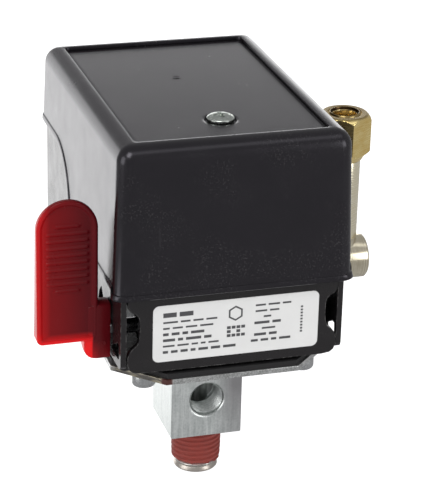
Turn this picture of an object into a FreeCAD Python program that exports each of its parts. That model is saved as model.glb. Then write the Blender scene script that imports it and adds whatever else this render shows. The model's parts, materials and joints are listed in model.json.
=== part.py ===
"""Diaphragm pressure switch for a small air compressor, with an AUTO/OFF lever and an unloader valve.

Millimetres. +Z is up, -Y is the labelled front, +X is to the right of the label.
The origin is on the axis of the male pipe thread, at the shoulder where it leaves the block.
"""
import FreeCAD, Part
import math
import os

V = FreeCAD.Vector
X, Y, Z = V(1, 0, 0), V(0, 1, 0), V(0, 0, 1)

# Manifold block and pipe connection
BLOCK_HALF = 9.7            # half of the square bar
BLOCK_TOP = 27.7            # height of the bar above the shoulder
TAIL_R = 6.7                # crest radius of the 1/4-18 pipe thread
TAIL_LEN = 13.3
SEALANT_LEN = 10.9
SEALANT_R = 6.86            # over the sealant, the thread's nominal 13.7 mm
PASSAGE_R = 2.6
PORT_Z = 10.7               # height of the 1/8-27 side port
PORT_R = 4.6
PORT_DEPTH = 9.0
PORT_MOUTH_R = 5.1
SPIGOT_R = 7.5

# Diaphragm flange under the base
FLANGE_X, FLANGE_Y, FLANGE_CORNER = 29.0, 31.5, 11.6
FLANGE_T = 1.4
DIAPHRAGM_T = 1.45
CLAMP_X, CLAMP_Y = 21.2, 23.4
CLAMP_HEAD_R, CLAMP_HEAD_T = 3.1, 3.1

# Folded steel base
SHEET = 1.5
BASE_X = 29.1               # half width over the end plates
BASE_FRONT, BASE_BACK = -30.8, 54.0
FLOOR_Z = 30.6              # underside of the floor
BEND_R = 2.4                # outer radius of the folds
APRON_X = 23.8              # half width of the folds under the front and back panels
PANEL_X = 27.4              # half width of the front and back panels
FRONT_TOP, REAR_TOP = 58.0, 73.0
PLATE_LOW = 32.4            # lower edge of the end plates
PISTON_HOLE_R = 8.3
CONDUIT_R, CONDUIT_Z = 11.1, 52.0
FOLD_TOP = FLOOR_Z + BEND_R + 1.0
PLATE_EASE = 0.5            # how far the end plates stay behind the front and back panels
STUD_R = 2.0                # screws, studs and rivets through the floor
LABEL_X0, LABEL_X1, LABEL_Z0, LABEL_Z1 = -21.0, 22.4, 34.1, 49.5
LABEL_T, LABEL_R = 0.15, 1.6

# Moulded cover
COVER_X = 31.3              # half width at the lower edge
COVER_FRONT, COVER_BACK = -32.7, 56.5
COVER_LOW, COVER_TOP = 52.1, 91.5
COVER_DRAFT = 1.4           # each side leans in by this over the full height
COVER_WALL = 1.4
COVER_R = 3.5               # outer corner radius
COVER_INNER_R = 1.6
CEILING_Z = 88.9
RECESS_MARGIN = 6.2         # from the lower outline to the sunk top panel
RECESS_DEPTH = 1.0
COUNTERBORE_R = 4.05
COUNTERBORE_DEPTH = 0.5     # below the sunk panel
SIDE_LOW, REAR_LOW = 53.8, 70.5
STEP_FRONT_Y, STEP_REAR_Y = 19.0, 36.0

# Cover screw and its post
POST_X, POST_Y = 0.6, -13.0
POST_R = 2.5
SCREW_HEAD_R = 3.65

# Lever on the left end
LEVER_Y, LEVER_Z = -19.0, 39.5
SHAFT_R = 2.0
GROOVE_R = 1.6              # shaft radius in the groove of its clip
CLIP_GAP = 2.2              # less than the groove's diameter, so the clip stays on
HUB_R = 7.7
HUB_OUT, HUB_IN = -33.6, -29.4
WEB_X = -35.9               # where the web between hub and paddle starts
SHAFT_X0 = -32.6            # blind end of the shaft in the hub
STOP_R = 6.0                # from the shaft to the stop pin
PADDLE_X0, PADDLE_X1 = -48.2, -32.6
PADDLE_Z0, PADDLE_Z1 = 37.2, 75.6
PADDLE_Y0, PADDLE_Y1 = -21.4, -16.6
PADDLE_TIP = 1.9            # thickness at the top; the rear face slopes
PADDLE_RIM, PADDLE_DISH = 1.1, 0.7
RIDGES, RIDGE_PITCH, RIDGE_LOW = 10, 1.92, 51.4

# Actuator beam
PIVOT_Y, PIVOT_Z = -24.0, 44.0
PIVOT_R = 2.0
RUN_GAP = 0.05              # radial clearance of a shaft that turns
BEAM_Z = 40.0
BEAM_X = 9.0
BEAM_WALL_TOP = 47.0

# Range and differential springs
RANGE_Y = 33.0
DIFF_X, DIFF_Y = 15.0, 40.0

# Contacts
CARRIER_Y = 7.0
CONTACT_REACH = 6.8         # from the carrier to each contact
BINDING_X = 16.5            # terminal screws
BLOCK_SCREW_X = 19.0
BLOCK_Z0, BLOCK_Z1 = 55.5, 61.0

# Unloader valve on the right end
VALVE_Y, VALVE_Z = 9.0, 40.0
VALVE_R = 6.05
NECK_R = 4.95
BORE_R = 3.6                # of the valve's chamber and of the nut's mouth
SPIGOT_TUBE_R = 3.4         # of the riser's foot
VALVE_END = 49.1
RISER_X = 41.9
RISER_R = 4.8
RISER_FOOT = 46.6           # where the tube meets the boss of the valve body
NUT_LOW, NUT_HEX_LOW, NUT_TOP = 69.0, 70.9, 81.8
RISER_TOP, SEAT_Z = 76.3, 77.7
NUT_AF = 12.7
TUBE_R = 3.2


def box(x0, x1, y0, y1, z0, z1):
    """Box between two opposite corners."""
    return Part.makeBox(x1 - x0, y1 - y0, z1 - z0, V(x0, y0, z0))


def rod(r, x, y, z, length, axis=Z):
    """Cylinder that starts at a point and runs along an axis."""
    return Part.makeCylinder(r, length, V(x, y, z), axis)


def ring(r_out, r_in, x, y, z, length, axis=Z):
    """Tube with a round bore."""
    return rod(r_out, x, y, z, length, axis).cut(rod(r_in, x, y, z, length, axis))


def hexagon(across_flats, x, y, z, length, axis=Z):
    """Hexagonal prism with its corners chamfered by a cone at both ends."""
    corner_r = across_flats / math.sqrt(3)
    flat = [V(corner_r * math.cos(math.radians(a)), corner_r * math.sin(math.radians(a)), 0)
            for a in range(0, 361, 60)]
    prism = Part.Face(Part.makePolygon(flat)).extrude(V(0, 0, length))
    dome = Part.makeCylinder(corner_r, length)
    rims = [e for e in dome.Edges if len(e.Vertexes) == 1]
    chamfer = 0.35 * (corner_r - across_flats / 2) + 0.15
    prism = prism.common(dome.makeChamfer(chamfer, rims))
    prism.Placement = FreeCAD.Placement(V(x, y, z), FreeCAD.Rotation(Z, axis))
    return prism


def plate_xy(points, z0, z1):
    """Flat plate with a polygonal outline seen from above."""
    outline = [V(px, py, z0) for px, py in points]
    return Part.Face(Part.makePolygon(outline + outline[:1])).extrude(V(0, 0, z1 - z0))


def plate_xz(points, y0, y1):
    """Flat plate with a polygonal outline seen from the front."""
    outline = [V(px, y0, pz) for px, pz in points]
    return Part.Face(Part.makePolygon(outline + outline[:1])).extrude(V(0, y1 - y0, 0))


def plate_yz(points, x0, x1):
    """Flat plate with a polygonal outline seen from the side."""
    outline = [V(x0, py, pz) for py, pz in points]
    return Part.Face(Part.makePolygon(outline + outline[:1])).extrude(V(x1 - x0, 0, 0))


def edges_along(shape, axis, test=lambda p: True):
    """Straight edges parallel to an axis whose middle passes a test."""
    found = []
    for edge in shape.Edges:
        if len(edge.Vertexes) != 2:
            continue
        run = edge.Vertexes[1].Point - edge.Vertexes[0].Point
        if run.Length > 1e-6 and run.cross(axis).Length < 1e-6 * run.Length + 1e-9:
            if test(edge.CenterOfMass):
                found.append(edge)
    return found


def rounded_outline(x, y0, y1, r, z):
    """Closed rectangle with round corners, centred on X, at one height."""
    k = r * (1 - math.sqrt(0.5))
    parts = []
    corners = [(x, y0, 1, -1), (x, y1, 1, 1), (-x, y1, -1, 1), (-x, y0, -1, -1)]
    ends = []
    for index, (cx, cy, sx, sy) in enumerate(corners):
        along_x = V(cx - sx * r, cy, z)
        along_y = V(cx, cy - sy * r, z)
        middle = V(cx - sx * k, cy - sy * k, z)
        first, last = (along_x, along_y) if index % 2 == 0 else (along_y, along_x)
        ends.append((first, last))
        parts.append(Part.Arc(first, middle, last).toShape())
    for index in range(4):
        parts.append(Part.LineSegment(ends[index][1], ends[(index + 1) % 4][0]).toShape())
    return Part.Wire(Part.__sortEdges__(parts))


def drafted_box(x, y0, y1, r, z0, z1, lean):
    """Box with round upright corners whose four sides lean in towards the top."""
    low = rounded_outline(x, y0, y1, r, z0)
    high = rounded_outline(x - lean, y0 + lean, y1 - lean, r, z1)
    return Part.makeLoft([low, high], True, True)


def coil(mean_r, wire_r, x, y, z0, z1, turns):
    """Open helical compression spring between two heights."""
    run = z1 - z0 - 2 * wire_r
    path = Part.makeHelix(run / turns, run, mean_r)
    path.translate(V(x, y, z0 + wire_r))
    section = Part.Wire(Part.makeCircle(wire_r, V(x + mean_r, y, z0 + wire_r), Y))
    return Part.Wire(path).makePipeShell([section], True, True)


def manifold_block():
    """Square bar with the male tail, the pressure passage and the side port."""
    bar = box(-BLOCK_HALF, BLOCK_HALF, -BLOCK_HALF, BLOCK_HALF, 0, BLOCK_TOP)
    bar = bar.makeFillet(0.5, edges_along(bar, Z))
    tail = rod(TAIL_R, 0, 0, -TAIL_LEN, TAIL_LEN)
    tip = [e for e in tail.Edges if len(e.Vertexes) == 1 and e.CenterOfMass.z < -1]
    tail = tail.makeChamfer(0.7, tip)
    body = bar.fuse(tail).fuse(rod(SPIGOT_R, 0, 0, BLOCK_TOP, FLANGE_T))
    body = body.cut(rod(PASSAGE_R, 0, 0, -TAIL_LEN, TAIL_LEN + BLOCK_TOP + FLANGE_T))
    body = body.cut(rod(PORT_R, 0, -BLOCK_HALF, PORT_Z, PORT_DEPTH, Y))
    mouth = Part.makeCone(PORT_MOUTH_R, PORT_R, PORT_MOUTH_R - PORT_R, V(0, -BLOCK_HALF, PORT_Z), Y)
    return body.cut(mouth)


def thread_sealant():
    """Dry sealant baked on the pipe thread as a thin sleeve."""
    return ring(SEALANT_R, TAIL_R, 0, 0, -SEALANT_LEN, SEALANT_LEN)


def octagon(x, y, corner):
    """Rectangle with its four corners cut at 45 degrees."""
    points = []
    for sx, sy in ((1, -1), (1, 1), (-1, 1), (-1, -1)):
        pair = [(sx * (x - corner), sy * y), (sx * x, sy * (y - corner))]
        points += pair if sx * sy < 0 else pair[::-1]
    return points


def clamp_points():
    """The four screws that hold the flange and the diaphragm to the floor."""
    return [(sx * CLAMP_X, sy * CLAMP_Y) for sx in (-1, 1) for sy in (-1, 1)]


def diaphragm_flange():
    """Zinc-plated plate that clamps the diaphragm."""
    z1 = BLOCK_TOP + FLANGE_T
    plate = plate_xy(octagon(FLANGE_X, FLANGE_Y, FLANGE_CORNER), BLOCK_TOP, z1)
    plate = plate.cut(rod(SPIGOT_R, 0, 0, BLOCK_TOP, FLANGE_T))
    for x, y in clamp_points():
        plate = plate.cut(rod(STUD_R, x, y, BLOCK_TOP, FLANGE_T))
    return plate


def diaphragm():
    """Rubber sheet between the flange and the floor."""
    z0 = BLOCK_TOP + FLANGE_T
    inset = 0.4
    outline = octagon(FLANGE_X - inset, FLANGE_Y - inset, FLANGE_CORNER)
    sheet = plate_xy(outline, z0, z0 + DIAPHRAGM_T)
    for x, y in clamp_points():
        sheet = sheet.cut(rod(STUD_R, x, y, z0, DIAPHRAGM_T))
    return sheet


def flange_screws():
    """Slotted pan-head screws under the flange, tapped into the floor of the base."""
    seat = BLOCK_TOP - CLAMP_HEAD_T
    end = FLOOR_Z + SHEET + 1.5
    screws = []
    for x, y in clamp_points():
        head = rod(CLAMP_HEAD_R, x, y, seat, CLAMP_HEAD_T)
        rim = [e for e in head.Edges if len(e.Vertexes) == 1 and e.CenterOfMass.z < seat + 0.1]
        head = head.makeFillet(1.0, rim)
        head = head.cut(box(x - 4, x + 4, y - 0.4, y + 0.4, seat, seat + 0.8))
        screws.append(head.fuse(rod(STUD_R, x, y, BLOCK_TOP, end - BLOCK_TOP)))
    return Part.makeCompound(screws)


def panel_outline(top):
    """Front and back panels: full width above, a notch each side with a sloping shoulder, a lobe below."""
    right = [(APRON_X, 31.5), (25.9, 31.8), (26.9, 32.6), (PANEL_X, 34.0), (PANEL_X, 36.0), (27.0, 37.2)]
    right += [(26.2, 38.3), (25.1, 39.2), (24.5, 40.4), (24.3, 42.8), (24.3, 45.6), (24.6, 46.9)]
    right += [(25.4, 47.8), (26.4, 48.3), (27.1, 49.1), (PANEL_X, 50.4), (PANEL_X, top)]
    return right + [(-px, pz) for px, pz in reversed(right)]


def floor_folds(grow=0.0):
    """Solid inside the outer faces of the folds to the end plates."""
    folds = box(-BASE_X, BASE_X, BASE_FRONT + 4, BASE_BACK - 4, FLOOR_Z, FOLD_TOP + grow)
    return folds.makeFillet(BEND_R, edges_along(folds, Y, lambda p: p.z < FLOOR_Z + 0.1))


def base_channel():
    """Sheet-steel floor folded up into the front and back panels, with a low fold at each end."""
    inner_x = BASE_X - SHEET
    trough = box(-APRON_X, APRON_X, BASE_FRONT, BASE_BACK, FLOOR_Z, FOLD_TOP)
    trough = trough.makeFillet(BEND_R, edges_along(trough, X, lambda p: p.z < FLOOR_Z + 0.1))
    hollow = box(-APRON_X, APRON_X, BASE_FRONT + SHEET, BASE_BACK - SHEET, FLOOR_Z + SHEET, FOLD_TOP)
    hollow = hollow.makeFillet(BEND_R - SHEET, edges_along(hollow, X, lambda p: p.z < FLOOR_Z + 2))
    gap = box(-inner_x, inner_x, BASE_FRONT + 4, BASE_BACK - 4, FLOOR_Z + SHEET, FOLD_TOP)
    gap = gap.makeFillet(BEND_R - SHEET, edges_along(gap, Y, lambda p: p.z < FLOOR_Z + 2))
    channel = trough.cut(hollow).fuse(floor_folds().cut(gap)).cut(hollow.common(gap))
    channel = channel.fuse(plate_xz(panel_outline(FRONT_TOP), BASE_FRONT, BASE_FRONT + SHEET))
    back = plate_xz(panel_outline(REAR_TOP), BASE_BACK - SHEET, BASE_BACK)
    channel = channel.fuse(back.cut(rod(CONDUIT_R, 0, BASE_BACK - SHEET, CONDUIT_Z, SHEET, Y)))
    channel = channel.cut(rod(PISTON_HOLE_R, 0, 0, FLOOR_Z, SHEET))
    channel = channel.cut(rod(STUD_R, POST_X, POST_Y, FLOOR_Z, SHEET))
    for x, y in clamp_points():
        channel = channel.cut(rod(STUD_R, x, y, FLOOR_Z, SHEET))
    return channel.removeSplitter()


def end_plate(x0):
    """Plate welded on a fold: round lower corners, taller at the rear, relieved behind the front corner."""
    low = PLATE_LOW
    front, rear = BASE_FRONT + PLATE_EASE, BASE_BACK - PLATE_EASE
    outline = [(front, low), (rear, low), (rear, REAR_TOP), (STEP_REAR_Y - 12, REAR_TOP),
               (STEP_FRONT_Y - 4, FRONT_TOP), (front, FRONT_TOP)]
    plate = plate_yz(outline, x0, x0 + SHEET)
    plate = plate.makeFillet(1.8, edges_along(plate, X, lambda p: p.z < low + 0.1))
    relief = [(front + 1.4, FOLD_TOP + 1.2), (front + 1.7, FOLD_TOP + 4.8), (front + 3.0, FOLD_TOP + 4.9),
              (front + 9.5, FOLD_TOP + 1.4), (front + 9.5, FOLD_TOP + 0.6), (front + 3.0, FOLD_TOP + 0.6)]
    return plate.cut(plate_yz(relief, x0, x0 + SHEET)).cut(floor_folds())


def end_plate_left():
    """End plate with the holes for the lever's shaft and stop pin, and a pointed opening above them."""
    opening = [(-12.6, 44.5), (-10.4, 47.2), (-8.2, 45.2), (-6.9, 42.4), (-8.6, 40.9), (-11.2, 41.4)]
    plate = end_plate(-BASE_X).cut(plate_yz(opening, -BASE_X, -BASE_X + SHEET))
    plate = plate.cut(rod(SHAFT_R + RUN_GAP, -BASE_X, LEVER_Y, LEVER_Z, SHEET, X))
    return plate.cut(stop_slot())


def end_plate_right():
    """End plate with the hole for the unloader valve's neck."""
    return end_plate(BASE_X - SHEET).cut(rod(NECK_R + 0.05, BASE_X - SHEET, VALVE_Y, VALVE_Z, SHEET, X))


def stop_slot():
    """Arc slot round the lever shaft that limits the lever's travel."""
    slot = ring(STOP_R + 1.4, STOP_R - 1.4, -BASE_X - 1, LEVER_Y, LEVER_Z, SHEET + 2, X)
    far = 20
    start, end = math.radians(-2), math.radians(76)
    wedge = [(LEVER_Y, LEVER_Z), (LEVER_Y + far * math.cos(start), LEVER_Z + far * math.sin(start)),
             (LEVER_Y + far, LEVER_Z + far), (LEVER_Y + far * math.cos(end), LEVER_Z + far * math.sin(end))]
    return slot.common(plate_yz(wedge, -BASE_X - 2, -BASE_X + SHEET + 2))


def rating_label():
    """Adhesive label with rounded corners on the front panel."""
    label = box(LABEL_X0, LABEL_X1, BASE_FRONT - LABEL_T, BASE_FRONT, LABEL_Z0, LABEL_Z1)
    return label.makeFillet(LABEL_R, edges_along(label, Y))


def cover():
    """Moulded cover with a sunk top panel and a stepped lower edge at the rear."""
    shell = drafted_box(COVER_X, COVER_FRONT, COVER_BACK, COVER_R, COVER_LOW, COVER_TOP, COVER_DRAFT)
    rim = [e for e in shell.Edges if e.BoundBox.ZMin > COVER_TOP - 0.01]
    shell = shell.makeFillet(COVER_R - 0.3, rim)
    inner_lean = COVER_DRAFT * 0.8
    w = COVER_WALL
    hollow = drafted_box(COVER_X - w, COVER_FRONT + w, COVER_BACK - w, COVER_INNER_R,
                         COVER_LOW, CEILING_Z, inner_lean)
    shell = shell.cut(hollow)
    m = RECESS_MARGIN
    sunk = drafted_box(COVER_X - m - 0.2, COVER_FRONT + m + 0.2, COVER_BACK - m - 0.2, 2.2,
                       COVER_TOP - RECESS_DEPTH, COVER_TOP + 0.1, -0.2)
    shell = shell.cut(sunk)
    # The side edges stand higher than the front edge and rise in a quarter ellipse towards the rear
    low = COVER_LOW - 1
    front_y, rear_y = COVER_FRONT + COVER_R, COVER_BACK + 1
    arc = []
    for angle in range(0, 91, 15):
        along = math.cos(math.radians(angle))
        up = math.sin(math.radians(angle))
        arc_y = STEP_REAR_Y - (STEP_REAR_Y - STEP_FRONT_Y) * along
        arc.append(V(-40, arc_y, SIDE_LOW + (REAR_LOW - SIDE_LOW) * up))
    curve = Part.BSplineCurve()
    curve.interpolate(arc)
    corners = [V(-40, STEP_REAR_Y, REAR_LOW), V(-40, rear_y, REAR_LOW), V(-40, rear_y, low),
               V(-40, front_y, low), V(-40, front_y, SIDE_LOW), V(-40, STEP_FRONT_Y, SIDE_LOW)]
    outline = Part.Wire([curve.toShape()] + Part.makePolygon(corners).Edges)
    shell = shell.cut(Part.Face(outline).extrude(V(80, 0, 0)))
    shell = shell.cut(rod(2.1, POST_X, POST_Y, CEILING_Z - 1, 5))
    seat = COVER_TOP - RECESS_DEPTH - COUNTERBORE_DEPTH
    shell = shell.cut(rod(COUNTERBORE_R, POST_X, POST_Y, seat, 2))
    dimple = Part.makeSphere(1.0, V(-1.3, 21.0, COVER_TOP - RECESS_DEPTH + 0.65))
    return shell.cut(dimple)


def cover_screw():
    """Pan-head screw with a combination recess, captive in the cover."""
    seat = COVER_TOP - RECESS_DEPTH - COUNTERBORE_DEPTH
    head = rod(SCREW_HEAD_R, POST_X, POST_Y, seat, 1.9)
    crown = [e for e in head.Edges if len(e.Vertexes) == 1 and e.CenterOfMass.z > seat + 1]
    head = head.makeFillet(1.1, crown)
    for half_x, half_y in ((2.2, 0.45), (0.45, 2.2)):
        head = head.cut(box(-half_x, half_x, POST_Y - half_y, POST_Y + half_y, seat + 0.8, seat + 2))
    head = head.cut(box(-4, 4, POST_Y - 0.35, POST_Y + 0.35, seat + 1.3, seat + 2))
    return head.fuse(rod(1.6, POST_X, POST_Y, seat - 11, 11))


def cover_post():
    """Round standoff riveted to the floor, tapped for the cover screw."""
    foot = FLOOR_Z + SHEET
    post = rod(3.0, POST_X, POST_Y, foot, 4).fuse(rod(POST_R, POST_X, POST_Y, foot, CEILING_Z - foot))
    post = post.fuse(rod(STUD_R, POST_X, POST_Y, FLOOR_Z, SHEET))
    return post.cut(rod(1.66, POST_X, POST_Y, CEILING_Z - 13, 13))


def lever():
    """Wedge-shaped hand paddle with a raised rim and grip ridges, and a hub that is flush with its face."""
    radius = (PADDLE_X1 - PADDLE_X0) / 2
    mid_x = (PADDLE_X0 + PADDLE_X1) / 2
    blade = box(PADDLE_X0, PADDLE_X1, PADDLE_Y0, PADDLE_Y1, PADDLE_Z0, PADDLE_Z1 - radius)
    blade = blade.makeFillet(1.2, edges_along(blade, Y, lambda p: p.z < PADDLE_Z0 + 0.1))
    blade = blade.fuse(rod(radius, mid_x, PADDLE_Y0, PADDLE_Z1 - radius, PADDLE_Y1 - PADDLE_Y0, Y))
    wedge = [(PADDLE_Y0, PADDLE_Z0), (PADDLE_Y1, PADDLE_Z0),
             (PADDLE_Y0 + PADDLE_TIP, PADDLE_Z1), (PADDLE_Y0, PADDLE_Z1)]
    blade = blade.common(plate_yz(wedge, PADDLE_X0, PADDLE_X1))
    floor_y = PADDLE_Y0 + PADDLE_DISH
    dish = box(PADDLE_X0 + PADDLE_RIM, PADDLE_X1 - PADDLE_RIM, PADDLE_Y0, floor_y,
               PADDLE_Z0 + 1.8, PADDLE_Z1 - radius)
    dish = dish.fuse(rod(radius - PADDLE_RIM, mid_x, PADDLE_Y0, PADDLE_Z1 - radius, PADDLE_DISH, Y))
    blade = blade.cut(dish)
    for step in range(RIDGES):
        side = 4.4 if step in (0, RIDGES - 1) else 2.2
        z = RIDGE_LOW + step * RIDGE_PITCH
        blade = blade.fuse(rod(0.5, PADDLE_X0 + side, floor_y + 0.1, z, 2 * (radius - side), X))
    hub = rod(HUB_R, HUB_OUT, LEVER_Y, LEVER_Z, HUB_IN - HUB_OUT, X)
    outer = [e for e in hub.Edges if len(e.Vertexes) == 1 and e.CenterOfMass.x < HUB_OUT + 0.1]
    hub = hub.makeFillet(0.6, outer)
    hub = hub.common(box(HUB_OUT, HUB_IN, PADDLE_Y0, 0, 0, PADDLE_Z1))
    web = box(WEB_X, HUB_OUT + 1, PADDLE_Y0 + 0.2, PADDLE_Y1 - 0.3, LEVER_Z - 5, LEVER_Z + 5)
    pin_angle = math.radians(62)
    pin_y = LEVER_Y + STOP_R * math.cos(pin_angle)
    pin_z = LEVER_Z + STOP_R * math.sin(pin_angle)
    pin = rod(1.1, HUB_IN - 0.5, pin_y, pin_z, 2.4, X)
    whole = blade.fuse([hub, web, pin]).removeSplitter()
    return whole.cut(rod(SHAFT_R, SHAFT_X0, LEVER_Y, LEVER_Z, 5, X))


def lever_shaft():
    """Steel shaft through the left end plate, grooved for its clip."""
    shaft = rod(SHAFT_R, SHAFT_X0, LEVER_Y, LEVER_Z, 16.2, X)
    return shaft.cut(ring(3, GROOVE_R, -27.0, LEVER_Y, LEVER_Z, 0.8, X))


def lever_clip():
    """Retaining ring in the shaft's groove."""
    clip = ring(3.6, GROOVE_R, -26.95, LEVER_Y, LEVER_Z, 0.7, X)
    return clip.cut(box(-28, -25, LEVER_Y - CLIP_GAP / 2, LEVER_Y + CLIP_GAP / 2, LEVER_Z - 6, LEVER_Z - 1))


def lever_cam():
    """Cam with one lobe, pressed on the shaft."""
    x0, width = -21.5, 4.5
    disc = rod(4.9, x0, LEVER_Y, LEVER_Z, width, X)
    lobe = box(x0, x0 + width, LEVER_Y - 2.4, LEVER_Y + 2.4, LEVER_Z, LEVER_Z + 7.2)
    lobe = lobe.makeFillet(1.6, edges_along(lobe, X, lambda p: p.z > LEVER_Z + 6))
    return disc.fuse(lobe).cut(rod(SHAFT_R, x0, LEVER_Y, LEVER_Z, width, X))


def detent_spring():
    """Leaf spring from the front panel that rides over the cam."""
    inside = BASE_FRONT + SHEET
    leaf = box(-21.2, -17.4, inside, inside + 0.6, 44.0, 48.4)
    return leaf.fuse(box(-21.2, -17.4, inside, LEVER_Y + 5, 47.8, 48.4))


def pivot_bracket():
    """U-shaped bracket that carries the beam's pivot pin."""
    foot = FLOOR_Z + SHEET
    y0, y1 = PIVOT_Y - 4.2, PIVOT_Y + 4.2
    bracket = box(-12.2, 12.2, y0, y1, foot, foot + SHEET)
    for side in (-1, 1):
        x0, x1 = sorted((side * 10.7, side * 12.2))
        bracket = bracket.fuse(box(x0, x1, y0, y1, foot, PIVOT_Z))
        bracket = bracket.fuse(rod(4.2, x0, PIVOT_Y, PIVOT_Z, SHEET, X))
    return bracket.cut(rod(PIVOT_R, -15, PIVOT_Y, PIVOT_Z, 30, X))


def beam_pivot_pin():
    """Headed pin that the beam turns on."""
    pin = rod(PIVOT_R, -13.6, PIVOT_Y, PIVOT_Z, 27.2, X)
    for x in (-13.6, 12.4):
        pin = pin.fuse(rod(3.0, x, PIVOT_Y, PIVOT_Z, 1.2, X))
    return pin


def actuator_beam():
    """Channel that the piston lifts against the springs, with the tab that works the unloader."""
    beam = plate_xy([(-BEAM_X, -20), (BEAM_X, -20), (BEAM_X, 26), (20, 28), (20, 46), (-20, 46),
                     (-20, 28), (-BEAM_X, 26)], BEAM_Z, BEAM_Z + SHEET)
    wall = [(-28, 40.8), (-27, BEAM_Z), (20, BEAM_Z), (24, BEAM_Z + SHEET), (20, BEAM_WALL_TOP),
            (-26, BEAM_WALL_TOP), (-28, 45)]
    for x0 in (-BEAM_X, BEAM_X - SHEET):
        beam = beam.fuse(plate_yz(wall, x0, x0 + SHEET))
    tab = [(8.5, 44.5), (8.5, 46), (14.45, 46), (20.25, 38), (18.4, 38), (13.4, 44.5)]
    beam = beam.fuse(plate_xz(tab, 5, 13))
    beam = beam.cut(rod(PIVOT_R + RUN_GAP, -15, PIVOT_Y, PIVOT_Z, 30, X))
    beam = beam.cut(rod(4.5, POST_X, POST_Y, BEAM_Z, SHEET))
    beam = beam.cut(rod(4.6, 0, RANGE_Y, BEAM_Z, SHEET))
    return beam.cut(rod(3.2, DIFF_X, DIFF_Y, BEAM_Z, SHEET))


def piston():
    """Pressure plate on the diaphragm, with the nose that lifts the beam."""
    body = rod(7.9, 0, 0, 30.7, 2.4).fuse(rod(4.0, 0, 0, 33.1, 5.4))
    return body.fuse(rod(1.6, 0, 0, 38.5, 1.35))


def range_stud():
    """Threaded stud for the range spring, with a hexagonal foot."""
    foot = FLOOR_Z + SHEET
    return hexagon(10, 0, RANGE_Y, foot, 3).fuse(rod(3.0, 0, RANGE_Y, foot, 80 - foot))


def range_seat():
    """Cup that centres the range spring on the beam."""
    top = BEAM_Z + SHEET
    return ring(10.2, 4.6, 0, RANGE_Y, top, 2.2).cut(ring(9.4, 4.6, 0, RANGE_Y, top + 1.2, 1.0))


def range_washer():
    """Flat washer on top of the range spring."""
    return ring(9.4, 3.05, 0, RANGE_Y, 69.0, 1.6)


def range_nut():
    """Adjusting nut that sets the cut-in pressure."""
    return hexagon(13, 0, RANGE_Y, 70.7, 5.6).cut(rod(3.05, 0, RANGE_Y, 70, 8))


def differential_stud():
    """Threaded stud for the differential spring."""
    foot = FLOOR_Z + SHEET
    return hexagon(7, DIFF_X, DIFF_Y, foot, 2.6).fuse(rod(2.0, DIFF_X, DIFF_Y, foot, 66 - foot))


def differential_nut():
    """Adjusting nut that sets the cut-out pressure."""
    return hexagon(8, DIFF_X, DIFF_Y, 58.2, 4).cut(rod(2.05, DIFF_X, DIFF_Y, 58, 5))


def contact_bracket():
    """Two steel legs that hold the contact block above the beam."""
    foot = FLOOR_Z + SHEET
    legs = []
    for side in (-1, 1):
        x0, x1 = sorted((side * 21.5, side * 23.0))
        inner0, inner1 = sorted((side * 15.5, side * 23.0))
        leg = box(x0, x1, -3, 17, foot, BLOCK_Z0)
        leg = leg.fuse(box(inner0, inner1, -3, 17, foot, foot + SHEET))
        leg = leg.fuse(box(inner0, inner1, -3, 17, BLOCK_Z0 - SHEET, BLOCK_Z0))
        leg = leg.cut(rod(1.5, side * BLOCK_SCREW_X, CARRIER_Y, BLOCK_Z0 - SHEET, SHEET))
        if side > 0:
            leg = leg.cut(rod(2.4, 20, VALVE_Y, VALVE_Z, 5, X))
        legs.append(leg)
    return Part.makeCompound(legs)


def contact_rows():
    """Side, Y of the terminal screw and Y of the fixed contact, for each of four terminals."""
    rows = ((CARRIER_Y - 8.4, CARRIER_Y - CONTACT_REACH), (CARRIER_Y + 8.4, CARRIER_Y + CONTACT_REACH))
    return [(side, y_screw, y_contact) for side in (-1, 1) for y_screw, y_contact in rows]


def contact_block():
    """Moulded insulating block with a slot for the carrier and barriers between the poles."""
    block = box(-24, 24, -4.6, 18.6, BLOCK_Z0, BLOCK_Z1)
    block = block.cut(box(-3.9, 3.9, CARRIER_Y - 4.1, CARRIER_Y + 4.1, BLOCK_Z0, BLOCK_Z1))
    for x0, x1, y0, y1 in ((-24, -22.4, -4.6, 18.6), (22.4, 24, -4.6, 18.6),
                           (-1, 1, -4.6, 2.4), (-1, 1, 11.6, 18.6)):
        block = block.fuse(box(x0, x1, y0, y1, BLOCK_Z1, 70))
    for side, y_screw, _ in contact_rows():
        block = block.cut(rod(1.7, side * BINDING_X, y_screw, BLOCK_Z0 + 1.5, BLOCK_Z1 - BLOCK_Z0 - 1.5))
    for side in (-1, 1):
        block = block.cut(rod(1.5, side * BLOCK_SCREW_X, CARRIER_Y, BLOCK_Z0, BLOCK_Z1 - BLOCK_Z0))
    return block


def terminals():
    """Four brass terminal plates, each with a fixed contact."""
    plates = []
    for side, y_screw, y_contact in contact_rows():
        x0, x1 = sorted((side * 6.5, side * 20.5))
        y0, y1 = (-4.2, 2.0) if y_screw < CARRIER_Y else (12.0, 18.2)
        plate = box(x0, x1, y0, y1, BLOCK_Z1, BLOCK_Z1 + 1.1)
        plate = plate.fuse(rod(1.7, side * 10, y_contact, BLOCK_Z1 + 1.1, 0.9))
        plates.append(plate.cut(rod(1.7, side * BINDING_X, y_screw, BLOCK_Z1, 1.1)))
    return Part.makeCompound(plates)


def terminal_screws():
    """Four slotted binding screws."""
    top = BLOCK_Z1 + 1.1
    screws = []
    for side, y_screw, _ in contact_rows():
        x = side * BINDING_X
        slot = box(x - 3, x + 3, y_screw - 0.4, y_screw + 0.4, top + 1.1, top + 2)
        shank = rod(1.7, x, y_screw, BLOCK_Z0 + 1.7, top - BLOCK_Z0 - 1.7)
        screws.append(rod(3.0, x, y_screw, top, 2.0).cut(slot).fuse(shank))
    return Part.makeCompound(screws)


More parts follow.
